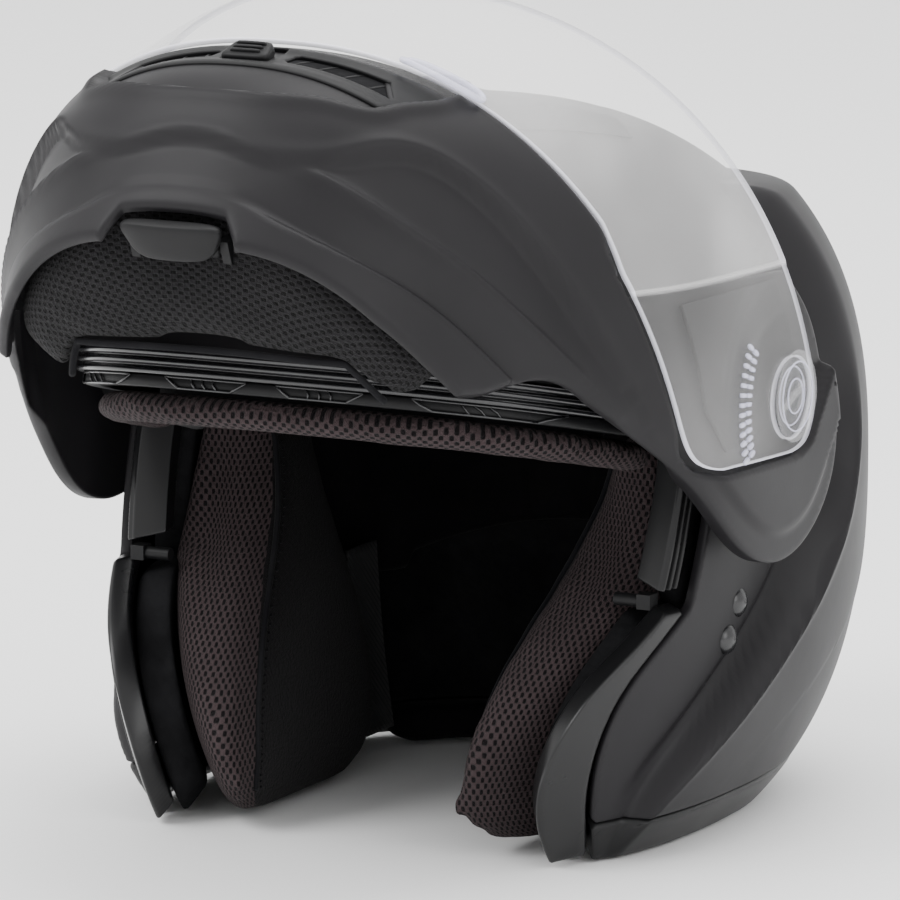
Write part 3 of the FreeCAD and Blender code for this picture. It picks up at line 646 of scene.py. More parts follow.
# ---------------------------------------------------------------- materials
class Look:
    """A material being made, with short ways to add the nodes that the looks share."""

    def __init__(self, name):
        self.material = bpy.data.materials.new(name)
        self.material.use_nodes = True
        self.nodes, self.links = self.material.node_tree.nodes, self.material.node_tree.links
        self.shader = self.nodes["Principled BSDF"]
        self.place = self.add("TexCoord").outputs["Object"]

    def add(self, kind, **values):
        """New node; values are its settings, or its inputs as a number or another node's output."""
        node = self.nodes.new("ShaderNode" + kind)
        for key, value in values.items():
            if hasattr(node, key):
                setattr(node, key, value)
            else:
                self.feed(node.inputs[key.replace("_", " ")], value)
        return node

    def feed(self, socket, value):
        if isinstance(value, bpy.types.NodeSocket):
            self.links.new(value, socket)
        elif isinstance(value, tuple):
            socket.default_value = (*value, 1)
        else:
            socket.default_value = value

    def shade(self, **values):
        """Set or feed the shader's own inputs."""
        for key, value in values.items():
            self.feed(self.shader.inputs[key.replace("_", " ")], value)

    def noise(self, scale, detail, rough=0.5):
        node = self.add("TexNoise", Vector=self.place, Scale=scale, Detail=detail, Roughness=rough)
        return node.outputs["Fac"]

    def bumps(self, *layers):
        """Stack of bumps, each (height, strength, distance)."""
        values = {}
        for height, strength, distance in layers:
            node = self.add("Bump", Height=height, Strength=strength, Distance=distance, **values)
            values = {"Normal": node.outputs["Normal"]}
        self.shade(**values)

    def colour(self, dark, light, scale):
        """Base colour that drifts between two."""
        ramp = self.add("ValToRGB", Fac=self.noise(scale, 4.0, 0.6))
        first, last = ramp.color_ramp.elements
        first.position, last.position = 0.35, 0.68
        first.color, last.color = (*dark, 1), (*light, 1)
        self.shade(Base_Color=ramp.outputs["Color"])

    def span(self, value, low, high, to_low, to_high, interpolation="LINEAR"):
        """A value carried from one range to another."""
        node = self.add("MapRange", interpolation_type=interpolation, Value=value, From_Min=low,
                        From_Max=high, To_Min=to_low, To_Max=to_high)
        return node.outputs["Result"]

    def smooth(self, value, low, high, to_low, to_high):
        """A span that eases in and out."""
        return self.span(value, low, high, to_low, to_high, "SMOOTHSTEP")

    def gloss(self, low, high, scale):
        """Roughness that drifts between two."""
        self.shade(Roughness=self.span(self.noise(scale, 3.0, 0.6), 0.0, 1.0, low, high))

    def math(self, operation, *values):
        node = self.add("Math", operation=operation)
        for socket, value in zip(node.inputs, values):
            self.feed(socket, value)
        return node.outputs[0]

    def mix(self, share, first, second):
        """Colour between two."""
        node = self.add("Mix", data_type="RGBA")
        for number, value in ((0, share), (6, first), (7, second)):
            self.feed(node.inputs[number], value)
        return node.outputs[2]

    def attribute(self, name):
        """The three parts of a vector stored in the mesh."""
        stored = self.add("Attribute", attribute_name=name).outputs["Vector"]
        return self.add("SeparateXYZ", Vector=stored).outputs


def plastic(name, dark, light, rough, grain, coat=0.0, specular=0.5):
    """Moulded or painted plastic: fine grain, faint colour drift and uneven gloss."""
    look = Look(name)
    look.bumps((look.noise(1400.0, 2.0, 0.55), grain, 0.0002), (look.noise(60.0, 2.0, 0.55), 0.04, 0.001))
    look.colour(dark, light, 9.0)
    look.gloss(*rough, 35.0)
    look.shade(Specular_IOR_Level=specular, Coat_Weight=coat, Coat_Roughness=0.25)
    return look.material


def rubber(name):
    look = Look(name)
    look.bumps((look.noise(500.0, 2.0, 0.55), 0.03, 0.0002))
    look.colour((0.006, 0.006, 0.007), (0.012, 0.012, 0.014), 14.0)
    look.gloss(0.16, 0.3, 40.0)
    look.shade(Specular_IOR_Level=0.6)
    return look.material


def foam(name):
    """Expanded foam: packed beads with darker joints."""
    look = Look(name)
    beads = look.add("TexVoronoi", Vector=look.place, Scale=330.0).outputs["Distance"]
    bumpy = look.add("Bump", Height=beads, Strength=0.5, Distance=0.0006, invert=True)
    look.colour((0.004, 0.004, 0.0045), (0.010, 0.010, 0.011), 60.0)
    look.shade(Normal=bumpy.outputs["Normal"], Roughness=0.9, Specular_IOR_Level=0.10)
    return look.material


def spacer_mesh(name, thread_dark, thread_light, hole, pitch, stretch, open_share):
    """Knitted spacer mesh: rows of elongated holes with raised threads, and plain cloth beyond the seam."""
    look = Look(name)
    across, along, beyond_seam = look.attribute("weave")

    def wave(operation, value, length):
        return look.math(operation, look.math("MULTIPLY", value, 2 * math.pi / length))

    product = look.math("MULTIPLY", wave("COSINE", across, pitch), wave("COSINE", along, pitch * stretch))
    height = look.math("MULTIPLY_ADD", product, 0.5, 0.5)
    hollow = look.smooth(height, 1 - open_share, 1 - open_share * 0.55, 0.0, 1.0)
    knit = look.math("MULTIPLY", wave("SINE", across, 0.9), wave("SINE", along, 0.7))
    knit_height = look.math("MULTIPLY_ADD", knit, 0.10, look.noise(900.0, 3.0))
    plain = look.math("GREATER_THAN", beyond_seam, 0.0)
    open_part = look.math("MULTIPLY", hollow, look.math("SUBTRACT", 1.0, plain))
    look.bumps((look.math("MULTIPLY_ADD", open_part, -2.2, knit_height), 0.9, 0.0011))
    thread = look.mix(look.noise(45.0, 3.0), thread_dark, thread_light)
    cloth = look.mix(plain, look.mix(hollow, thread, hole), (0.005, 0.0045, 0.005))
    look.shade(Base_Color=cloth, Roughness=0.8, Sheen_Weight=0.03, Sheen_Roughness=0.5,
               Specular_IOR_Level=0.10)
    return look.material


def plush(name, dark, light):
    """Short brushed pile."""
    look = Look(name)
    look.bumps((look.noise(1800.0, 3.0, 0.55), 0.45, 0.0006), (look.noise(220.0, 3.0, 0.55), 0.25, 0.001))
    look.colour(dark, light, 30.0)
    look.shade(Roughness=0.95, Sheen_Weight=0.03, Sheen_Roughness=0.35, Specular_IOR_Level=0.08)
    return look.material


def webbing(name):
    """Woven strap: fine diagonal ribs."""
    look = Look(name)
    ribs = look.add("TexWave", Vector=look.place, Scale=260.0, Distortion=0.6, bands_direction="DIAGONAL")
    look.bumps((ribs.outputs["Fac"], 0.6, 0.0004))
    look.colour((0.005, 0.005, 0.0055), (0.012, 0.012, 0.013), 120.0)
    look.shade(Roughness=0.75, Sheen_Weight=0.05)
    return look.material


def metal(name, colour, rough):
    look = Look(name)
    look.bumps((look.noise(700.0, 2.0, 0.55), 0.08, 0.0002))
    look.colour(tuple(c * 0.8 for c in colour), colour, 40.0)
    look.gloss(rough, rough + 0.15, 60.0)
    look.shade(Metallic=1.0)
    return look.material


def clear_plastic(name, tint, alpha_low, alpha_high, rough):
    """Clear moulded plastic with a faint whitish veil that drifts over the piece: painted reflection of the
    bright surround.
    """
    look = Look(name)
    # Whitish alpha veil whose strength drifts with noise: painted reflection.
    painted_reflection = look.span(look.noise(11.0, 2.0, 0.45), 0.35, 0.7, alpha_low, alpha_high)
    look.shade(Alpha=painted_reflection, Base_Color=tint, Roughness=rough, Specular_IOR_Level=0.6)
    return look.material


def shield_plastic(name):
    """The shield: a whitish veil of painted reflection above the moulded step, clearer beside the hub, with
    painted highlights along the step and along its bright cut edge.
    """
    look = Look(name)
    step, edge, _ = look.attribute("zone")
    # Painted reflection over the shield, weaker beside the hub.
    painted_reflection = look.smooth(look.noise(13.0, 2.0), 0.34, 0.68, 0.15, 0.29)
    behind = look.smooth(step, -0.5, 0.5, 0.0, 1.0)
    body = look.math("MULTIPLY", painted_reflection, look.math("MULTIPLY_ADD", behind, -0.70, 1.0))
    step_glint = look.smooth(look.math("ABSOLUTE", step), 0.5, 1.2, 0.16, 0.0)
    # Painted highlight along the cut edge, in the edge's lavender tint.
    rim = look.smooth(edge, 0.1, 0.6, 0.0, 0.52)
    total = look.math("ADD", look.math("ADD", body, step_glint), rim)
    tint = look.mix(rim, (0.90, 0.89, 0.89), (0.80, 0.80, 0.97))
    look.shade(Alpha=look.math("MINIMUM", total, 0.95), Base_Color=tint, Roughness=0.05,
               Specular_IOR_Level=0.6)
    return look.material


MAT = {
    "shell": plastic("shell_matte", (0.0080, 0.0075, 0.0085), (0.0115, 0.0108, 0.0122), (0.42, 0.52),
                     grain=0.10, specular=0.19),
    "rim": plastic("rim_satin", (0.006, 0.006, 0.0065), (0.009, 0.009, 0.0095), (0.32, 0.42),
                   grain=0.06, specular=0.22),
    "trim": plastic("trim_satin", (0.005, 0.005, 0.0055), (0.008, 0.008, 0.0085), (0.24, 0.34),
                    grain=0.03, coat=0.1, specular=0.28),
    "dark": plastic("dark_plastic", (0.004, 0.004, 0.0045), (0.008, 0.008, 0.0085), (0.42, 0.55),
                    grain=0.12, specular=0.2),
    "gloss": plastic("gloss_plastic", (0.006, 0.006, 0.007), (0.010, 0.010, 0.011), (0.22, 0.30),
                     grain=0.02, coat=0.1),
    "rubber": rubber("gasket_rubber"),
    "foam": foam("liner_foam"),
    "mesh": spacer_mesh("mesh_mauve", (0.026, 0.018, 0.019), (0.054, 0.038, 0.040),
                        (0.003, 0.002, 0.0025), pitch=3.2, stretch=1.35, open_share=0.50),
    "black_mesh": spacer_mesh("mesh_black", (0.006, 0.006, 0.0065), (0.014, 0.013, 0.0145),
                              (0.001, 0.001, 0.001), pitch=4.4, stretch=0.75, open_share=0.48),
    "plush": plush("plush_black", (0.003, 0.003, 0.0035), (0.007, 0.0065, 0.0075)),
    "seam": plush("seam_black", (0.004, 0.004, 0.005), (0.010, 0.010, 0.011)),
    "webbing": webbing("webbing_black"),
    "steel": metal("steel_dark", (0.30, 0.29, 0.28), 0.32),
    "shield": shield_plastic("clear_shield"),
    # Bright clear plastic for painted highlights on the small clear parts.
    "shield_glint": clear_plastic("clear_glint", (0.80, 0.80, 0.97), 0.42, 0.62, rough=0.12),
    "clear_detail": clear_plastic("clear_detail", (0.88, 0.88, 0.90), 0.10, 0.20, rough=0.06),
}


def finish(obj, material, body, slot, *nodes):
    """Give a piece its material, its body and the CAD nodes it stands for; slot is not used."""
    obj.data.materials.clear()
    obj.data.materials.append(MAT[material])
    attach(obj, body)
    if nodes:
        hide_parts(*nodes)
    return obj


def finish_pair(left, material, body, slot, node):
    """Finish a left piece, and its mirror copy for the right side."""
    finish(left, material, body, slot, node + "_left")
    right = mirror_copy(left, left.name.replace("_left", "_right"))
    return finish(right, material, body, slot, node + "_right")


# ---------------------------------------------------------------- the helmet's body
def side_loop(points, form=FLANK, grow=0.0):
    """Side view points, as (Y, Z), carried onto the body's flat map, left side."""
    y, z = np.asarray(points)[:, 0], np.asarray(points)[:, 1]
    return body_map(np.stack([form_x(form, y, z, grow), y, z], axis=1))


def brow_line(form, below=0.0, grow=0.0, count=60, back_y=-22.0):
    """Points of a form where the brow plane cuts it, from the back at the left side to the front centre."""
    turn = np.linspace(0.0, math.pi / 2, 241)
    out = []
    for t in turn:
        across, along = math.cos(t), -math.sin(t)
        reach, y = 1.0, CENTRE[1]
        for _ in range(40):
            z = brow_z(y, below)
            up = (z - CENTRE[2]) / (form[3] + grow)
            left = max(1e-6, 1.0 - abs(up) ** form[5]) ** (1 / form[5])
            reach = left * (abs(across / (form[0] + grow)) ** form[5]
                            + abs(along / (form[1] + grow)) ** form[5]) ** (-1 / form[5])
            y = CENTRE[1] + reach * along
        out.append((reach * across, y, brow_z(y, below)))
    out = np.array(out)
    out = out[out[:, 1] <= back_y]
    return smooth_line(out[np.linspace(0, len(out) - 1, 30).astype(int)], count)


def level_line(z, form_point_count=90):
    """Left half of the body's outline at one height, from the rear centre to the jaw."""
    azimuth = np.linspace(math.pi / 2, -math.pi / 2.6, form_point_count)
    low, high = np.full(form_point_count, -1.5), np.full(form_point_count, 1.5)
    for _ in range(40):
        middle = (low + high) / 2
        flat = np.cos(middle)
        d = np.stack([np.cos(azimuth) * flat, np.sin(azimuth) * flat, np.sin(middle)], axis=1)
        uv = body_map(CENTRE + d)
        height = body_point(uv[:, 0], uv[:, 1])[:, 2]
        low, high = np.where(height < z, middle, low), np.where(height < z, high, middle)
    return uv


def body_outline():
    """The shell's outline on the flat map: brow, side edge, jaw edge and the level line at the rim."""
    brow = body_map(brow_line(CROWN))[::-1]
    side = side_loop(smooth_line(SHELL_SIDE_EDGE, 20))
    jaw_points = smooth_line(TRIM_OUTER_EDGE, 60)
    jaw = side_loop(jaw_points[jaw_points[:, 1] > RIM_Z + 0.6])
    rim = level_line(RIM_Z + 0.4)[::-1]
    start = np.argmin(np.linalg.norm(rim - jaw[-1], axis=1))
    rim = rim[start + 1:]
    over_top = brow[0] * [0, 1] + [-20.0, 0]
    under_rear = rim[-1] * [0, 1] + [-20.0, 0]
    return np.vstack([over_top, brow, side, jaw, rim, under_rear])


def shell_height(u, v):
    """Swept channel along the rear part's edge, and a soft crease on the rear part."""
    d = body_direction(u, v)
    p = CENTRE + form_radius(d, FLANK)[:, None] * d
    side = np.stack([p[:, 1], p[:, 2]], axis=1)
    ahead = -rear_depth(p[:, 1], p[:, 2])
    fade = step_up(p[:, 2], 8.0, 60.0) * step_up(150.0 - p[:, 2], 0.0, 30.0) * (np.abs(p[:, 0]) > 40)
    lift = -1.8 * bump(ahead - 5.5, 3.4) * fade + 0.9 * bump(ahead + 1.5, 2.6) * fade
    crease = line_distance(side, smooth_line(REAR_CREASE, 30))
    lift += 0.5 * np.tanh(crease / 3.0) * bump(p[:, 1] - 120.0, 60.0) * (np.abs(p[:, 0]) > 30)
    return lift


def make_outer_shell():
    shell = panel("shell_body", body_outline(), body_point, 2.2, 4.0, height=shell_height, edge=1.4)
    return finish(shell, "shell", "helmet", "shell_matte", "outer_shell")


def rim_outline():
    jaw_points = smooth_line(TRIM_OUTER_EDGE, 120)
    jaw = side_loop(jaw_points[(jaw_points[:, 1] < RIM_Z - 0.4) & (jaw_points[:, 1] > 0.6)])
    upper = level_line(RIM_Z - 0.5)
    lower = level_line(0.6)[::-1]
    upper = upper[: np.argmin(np.linalg.norm(upper - jaw[0], axis=1))]
    lower = lower[np.argmin(np.linalg.norm(lower - jaw[-1], axis=1)) + 1:]
    return np.vstack([upper[0] * [0, 1] + [-20.0, 0], upper, jaw, lower, lower[-1] * [0, 1] + [-20.0, 0]])


def make_rim():
    rim = panel("rim_trim", rim_outline(), body_point, 2.0, 6.5, edge=1.0)
    return finish(rim, "rim", "helmet", "shell_matte", "base_rim")


def make_jaw_trim():
    front = smooth_line(TRIM_FRONT_EDGE, 60)
    back = smooth_line(TRIM_OUTER_EDGE, 60)
    front, back = front[front[:, 1] > 0.6], back[back[:, 1] > 0.6]
    loop = side_loop(np.vstack([front, back[::-1] - [0.4, 0.0]]), grow=-1.0)
    left = panel("jaw_trim_piece_left", loop, form_surface(FLANK, -1.0), 1.8, 7.6, edge=1.6, both=False)
    finish_pair(left, "trim", "helmet", "trim_satin", "jaw_trim")


# ---------------------------------------------------------------- the chin bar
VENT_LOW, VENT_TOP = 62.0, 86.0
CHIN_SLOT = [(14.0, 70.0), (52.0, 70.0), (46.0, 80.0), (14.0, 80.0)]


def chin_outline():
    """Left half of the chin bar's outline on the face form's map."""
    lower_front = np.array([(-138.0, 0.4), (-110.0, 8.5), (-92.0, 14.0), (-77.0, 19.5)])
    notch = smooth_line(CHIN_NOTCH, 26)
    rear = smooth_line(CHIN_REAR_EDGE, 110)
    front_edge = smooth_line([(-40.0, 168.0), (-77.0, 88.6)], 40)
    lower = np.array([(0.0, -2.4), (30.0, -1.6)])
    side = np.vstack([lower_front, notch[1:], rear[1:], front_edge])
    top = np.array([(face_s(-84.0, 88.2), 88.2), (face_s(-100.0, 90.5), 90.5), (-20.0, 90.5)])
    return np.vstack([[(-20.0, -2.4)], lower, face_map(side), top])


def shield_loop(grow=0.0):
    """Side view outline of the shield's left side and the front edges, on the face form's map."""
    low = 91.5 - grow
    rear = [(-30.0 + grow * 0.2, low - 5.0), (-12.0 + grow, low - 2.0), (-2.0 + grow, low + 10.0)]
    top = [(18.0 + grow, 146.0), (20.0 + grow, 158.0), (12.0 + grow, 168.0 + grow), (-4.0, 171.0 + grow)]
    side = np.vstack([[(-100.0, low), (-84.0, low - 4.0)], smooth_line(rear, 24), smooth_line(top, 40),
                      smooth_line([(-10.0, 171.0 + grow), (-130.0, 171.0 + grow)], 30)])
    return np.vstack([[(-20.0, low)], face_map(side), [(-20.0, 171.0 + grow)]])


def pocket_loop():
    """Where the arm is sunk for the shield: its outline and the room above it."""
    base = shield_loop(1.2)
    y = base[:, 0] - QUARTER
    base[:, 0] = np.where((base[:, 1] > 150) & (y > -30), np.maximum(base[:, 0], QUARTER + 10.0), base[:, 0])
    keep = base[base[:, 1] < 166.0]
    return np.vstack([keep, [(QUARTER + 12.0, 176.0), (QUARTER - 2.0, 200.0), (-20.0, 200.0)]])


def constant(value):
    """Height or depth function that is the same everywhere."""
    return lambda u, v: np.full(len(u), value)


def circle(radius, count, x=0.0, y=0.0):
    turn = np.linspace(0, 2 * math.pi, count + 1)[:-1]
    return np.stack([x + radius * np.cos(turn), y + radius * np.sin(turn)], axis=1)


def hinge_circle(radius, count):
    """Circle about the side hinge on the face form's map."""
    return circle(radius, count, QUARTER, PIVOT_Z)


def wrap_line(points, count=60):
    """Crease from (degrees round from the front centre, height) to the map."""
    line = smooth_line(points, count)
    return np.stack([line[:, 0] * WRAP * math.pi / 180.0, line[:, 1]], axis=1)


LEDGE = wrap_line([(-6.0, 42.5), (6.8, 43.5), (13.0, 49.5), (16.5, 53.0), (19.5, 63.0), (22.5, 77.0),
                   (24.0, 93.0)])
FOLD_A = wrap_line([(-8.0, 28.0), (4.0, 28.0), (9.0, 26.5), (12.0, 28.0), (20.0, 42.0), (28.0, 58.0),
                    (35.0, 62.5), (48.0, 67.0), (66.0, 73.0)])
FOLD_B = wrap_line([(-8.0, 13.0), (8.0, 13.0), (13.0, 12.0), (20.0, 13.5), (34.0, 24.0), (50.0, 36.0),
                    (70.0, 51.0)])
RIDGE = wrap_line([(4.0, 26.0), (11.0, 26.5), (16.0, 27.5), (26.0, 31.5), (35.0, 38.0), (45.0, 46.0),
                   (58.0, 57.0), (70.0, 67.0)])
RECESS_EDGE = 24.5 * WRAP * math.pi / 180.0
DEEPEST = 4.2                       # the lining starts just behind this depth


def chin_height(u, v):
    """Sculpt of the chin bar: vent recess, two folds, a ridge between hollows, the pocket and the hem."""
    place = np.stack([np.abs(u), v], axis=1)
    ledge = line_distance(place, LEDGE)
    fold_a = line_distance(place, FOLD_A)
    fold_b = line_distance(place, FOLD_B)
    ridge = line_distance(place, RIDGE)
    side = step_up(place[:, 0], 18.0, 44.0)
    fade = step_up(QUARTER - 28.0 - place[:, 0], 0.0, 70.0)
    lift = 1.3 * bump(ledge + 1.6, 2.6) - 5.2 * step_up(ledge, -0.6, 3.4) * (place[:, 0] < RECESS_EDGE + 4.0)
    between = step_up(-fold_a, -0.6, 2.2) * step_up(fold_b, -0.6, 2.2)
    front_step = -3.4 * np.clip(fold_b / 13.0, 0.0, 1.0)
    hollow = -np.clip(0.42 * ridge, 0.0, 7.5) - np.clip(-0.30 * ridge, 0.0, 3.6)
    lift += between * (front_step * (1 - side) + hollow * side) * fade
    lift += 1.0 * bump(ridge, 1.8) * side * fade * between
    lift += 0.7 * bump(fold_a - 1.2, 2.4) * fade - 1.0 * bump(fold_b - 0.8, 1.3) * fade
    lift = np.where(lift < 0.0, DEEPEST * np.tanh(lift / DEEPEST), lift)
    inside, _ = loop_distance(place, POCKET)
    lift = np.where(inside < 1.5, np.minimum(lift, -5.2 * step_up(-inside, -1.0, 1.4)), lift)
    side_y = place[:, 0] - QUARTER
    hem = line_distance(np.stack([side_y, v], axis=1), SKIRT_LINE)
    lift -= 1.5 * step_up(-hem, -1.2, 2.6) * step_up(side_y, -60.0, -20.0)
    return lift


POCKET = pocket_loop()
SKIRT_LINE = smooth_line([(-60.0, 70.0), (-29.0, 84.0), (4.0, 101.0), (24.0, 113.0), (35.0, 124.0),
                          (41.0, 138.0), (41.5, 152.0), (35.0, 168.0)], 60)


SLOT_RADIUS = 170.0                 # front curve of the chin bar at the slot's height
LEVER_NOTCH = np.array([(-20.0, -9.0), (22.0, -9.0), (25.0, 2.0), (19.0, 8.2), (-20.0, 8.2)])


def chin_depth(u, v):
    """Inner face: thin at the front and below, thicker in the arms."""
    side_y = np.where(np.abs(u) > QUARTER, np.abs(u) - QUARTER, -WRAP * np.cos(np.abs(u) / WRAP) * 1.1)
    arm = step_up(side_y, -88.0, -78.0) * step_up(v, 80.0, 88.0)
    return np.minimum(-4.0 - 4.0 * arm, chin_height(u, v) - 1.6)


def make_chin_shell():
    slot = np.array([(WRAP * math.asin(x / SLOT_RADIUS), z) for x, z in CHIN_SLOT])
    holes = [hinge_circle(8.3, 32), LEVER_NOTCH, slot]
    shell = panel("chin_bar_body", chin_outline(), raised_face, 1.45, 4.0, holes=holes, height=chin_height,
                  depth=chin_depth, edge=1.4)
    return finish(shell, "shell", "chin_bar", "shell_matte", "chin_bar_shell")


def make_shield():
    """Clear shield with its hub seats and a step line, marked for its material by zone."""
    step_line = smooth_line([(-82.0, 74.0), (-60.0, 124.0), (-40.0, 172.0)], 30)

    def height(u, v):
        behind = face_point(np.abs(u), v)[:, 1]
        gap = line_distance(np.stack([behind, v], axis=1), step_line)
        return -0.5 * step_up(-gap, -0.8, 0.8)

    sheet = panel("shield_sheet", shield_loop(), raised_face, 2.2, 2.2, holes=[hinge_circle(13.9, 48)],
                  height=height, edge=0.9)
    finish(sheet, "shield", "shield", "clear_shield", "face_shield")
    closed = closed_pose(vertices_mm(sheet))
    zone = np.zeros((len(closed), 3), np.float32)
    zone[:, 0] = -line_distance(closed[:, 1:], step_line)
    zone[RIM_POINTS["shield_sheet"]:, 1] = 1.0
    zone[:, 2] = closed[:, 2]
    sheet.data.attributes.new("zone", "FLOAT_VECTOR", "POINT").data.foreach_set("vector", zone.ravel())


# ---------------------------------------------------------------- chin bar's smaller pieces
def front_s(x, z):
    """Wrap distance of a place on the face form given by X and height."""
    x = np.asarray(x, float)
    z = np.zeros_like(x) + z
    y = front_reach(z) * (1 - np.clip(np.abs(x / half_width(z)), 0, 1) ** FACE_POWER) ** (1 / FACE_POWER)
    return WRAP * np.arctan2(x, y)


def front_loop(points):
    points = dense(points)
    return np.stack([front_s(points[:, 0], points[:, 1]), points[:, 1]], axis=1)


def dense(points, gap=3.0):
    """Closed outline with points added along its sides."""
    points = np.asarray(points, float)
    out = []
    for a, b in zip(points, np.roll(points, -1, axis=0)):
        count = max(1, int(np.linalg.norm(b - a) / gap))
        out += [a + (b - a) * k / count for k in range(count)]
    return np.array(out)


def make_chin_vent():
    outline = front_loop([(-20.0, VENT_LOW), (52.0, VENT_LOW), (66.0, VENT_TOP), (-20.0, VENT_TOP)])
    track = front_loop([(-20.0, 67.5), (8.6, 67.5), (8.6, 84.0), (-20.0, 84.0)])

    def height(u, v):
        return -3.2 + 1.6 * bump(v - VENT_TOP + 2.0, 3.5) + 0.8 * bump(v - VENT_LOW - 1.5, 2.5)

    frame_piece = panel("chin_vent_surround", outline, raised_face, 1.5, 3.0,
                        holes=[front_loop(CHIN_SLOT), track], height=height, depth=constant(-6.0), edge=0.8)
    finish(frame_piece, "dark", "chin_bar", "dark_plastic", "chin_vent_frame")
    floor = panel("chin_vent_floor", front_loop([(-20.0, 66.0), (54.0, 66.0), (50.0, 83.0), (-20.0, 83.0)]),
                  lambda u, v, g: raised_face(u, v, g - 9.0), 2.5, 1.0)
    finish(floor, "foam", "chin_bar", "dark_plastic")

    def fin(x, side):
        def place(a, b, c):
            s = side * front_s(x + 0.6 * a + 2.0 * b, 75.0)
            return tuple(np.moveaxis(raised_face(s, 75.0 + 5.0 * b, -6.0 + 2.0 * c), -1, 0))
        return rounded_part(place, 3, 8.0)

    fins = [fin(x, side) for x in (18.0, 27.0, 36.0, 45.0) for side in (1.0, -1.0)]
    finish(joined("chin_vent_fins", fins), "dark", "chin_bar", "dark_plastic")
    button = rounded_part(
        lambda a, b, c: (8.0 * a * (1 - 0.12 * b), -164.6 - 2.4 * c, 73.0 + 5.0 * b), 8, 6.0)
    parts = [button]
    for k in range(3):
        z = 70.5 + 2.4 * k
        parts.append(rounded_part(lambda a, b, c, z=z: (5.4 * a, -167.0 - 0.9 * c, z + 0.6 * b), 4))
    slider = joined("chin_vent_button", raised_parts(parts))
    finish(slider, "dark", "chin_vent_slider", "dark_plastic", "chin_vent_slider")


def make_release_lever():
    def blade(a, b, c):
        x = a * (20.0 - 3.2 * (b + 1.0)) * (1 - 0.05 * np.maximum(c, 0))
        y = -134.7 + 6.6 * b
        return x, y, 3.9 - 2.9 * c * (1 - 0.18 * np.abs(a) ** 2) + 0.6 * (a * a)

    def web(a, b, c):
        return 11.5 * a, -129.5 + 1.5 * b, 7.0 + 3.0 * c

    barrel = tube_part([(x, -129.5, 9.0) for x in np.linspace(-14, 14, 9)], 2.6, 16)
    parts = [rounded_part(blade, 14, 4.5), rounded_part(web, 5, 8.0), barrel]
    lever = joined("release_paddle", raised_parts(parts))
    finish(lever, "dark", "release_lever", "shell_matte", "release_lever")


PAD_BACK_Y = -88.0                  # how far back the pad's lower edge reaches, chin bar closed


def make_chin_pad():
    """Spacer mesh pad along the inside of the chin bar, with a bound edge."""
    reach = float(face_s(-94.0, 45.0)) - 4.0

    def place(a, b, c):
        s = a * reach
        low = 5.5 + 5.0 * (1 + c) * bump(s, 34.0) + 13.0 * np.abs(a) ** 3
        high = 74.0 - 4.0 * np.abs(a) ** 3
        z = low + (b + 1) / 2 * (high - low)
        outer, inner = face_point(s, z, -7.0), face_point(s, z, -28.0)
        reach_back = np.maximum(PAD_BACK_Y - inner[:, 1], 0.0)
        inner[:, 1] += reach_back * ((1 - b) / 2) ** 1.5
        share = ((c + 1) / 2)[:, None]
        return raised(inner + share * (outer - inner))

    pad = pillow("chin_pad_cushion", place, 44, 8.0)
    inflate(pad, voxel=0.004, pressure=3.0, cap=0.005)
    closed = closed_pose(vertices_mm(pad))
    radial = np.hypot(closed[:, 0], closed[:, 1])
    weave_map(pad, 120.0 * np.arctan2(closed[:, 0], -closed[:, 1]), closed[:, 2] + radial)
    finish(pad, "black_mesh", "chin_bar", "mesh_fabric", "chin_mesh_pad")
    across = np.linspace(-0.9, 0.9, 90)
    hem = joined("chin_pad_hem", [tube_part(place(across, np.full(90, -0.9), np.full(90, -0.96)), 1.2, 8)])
    finish(hem, "seam", "chin_bar", "plush_fabric")


# ---------------------------------------------------------------- shield's smaller pieces
HUB_RING = [(0.0, 3.4), (4.0, 3.4), (4.3, 4.6), (5.6, 4.6), (6.0, 3.0), (9.6, 3.0), (10.0, 4.9), (12.2, 5.5),
            (15.0, 5.5), (15.5, 5.0), (15.4, 4.7), (13.5, 4.6), (13.4, 0.2), (11.0, 0.0), (10.9, 2.0),
            (0.0, 2.0)]


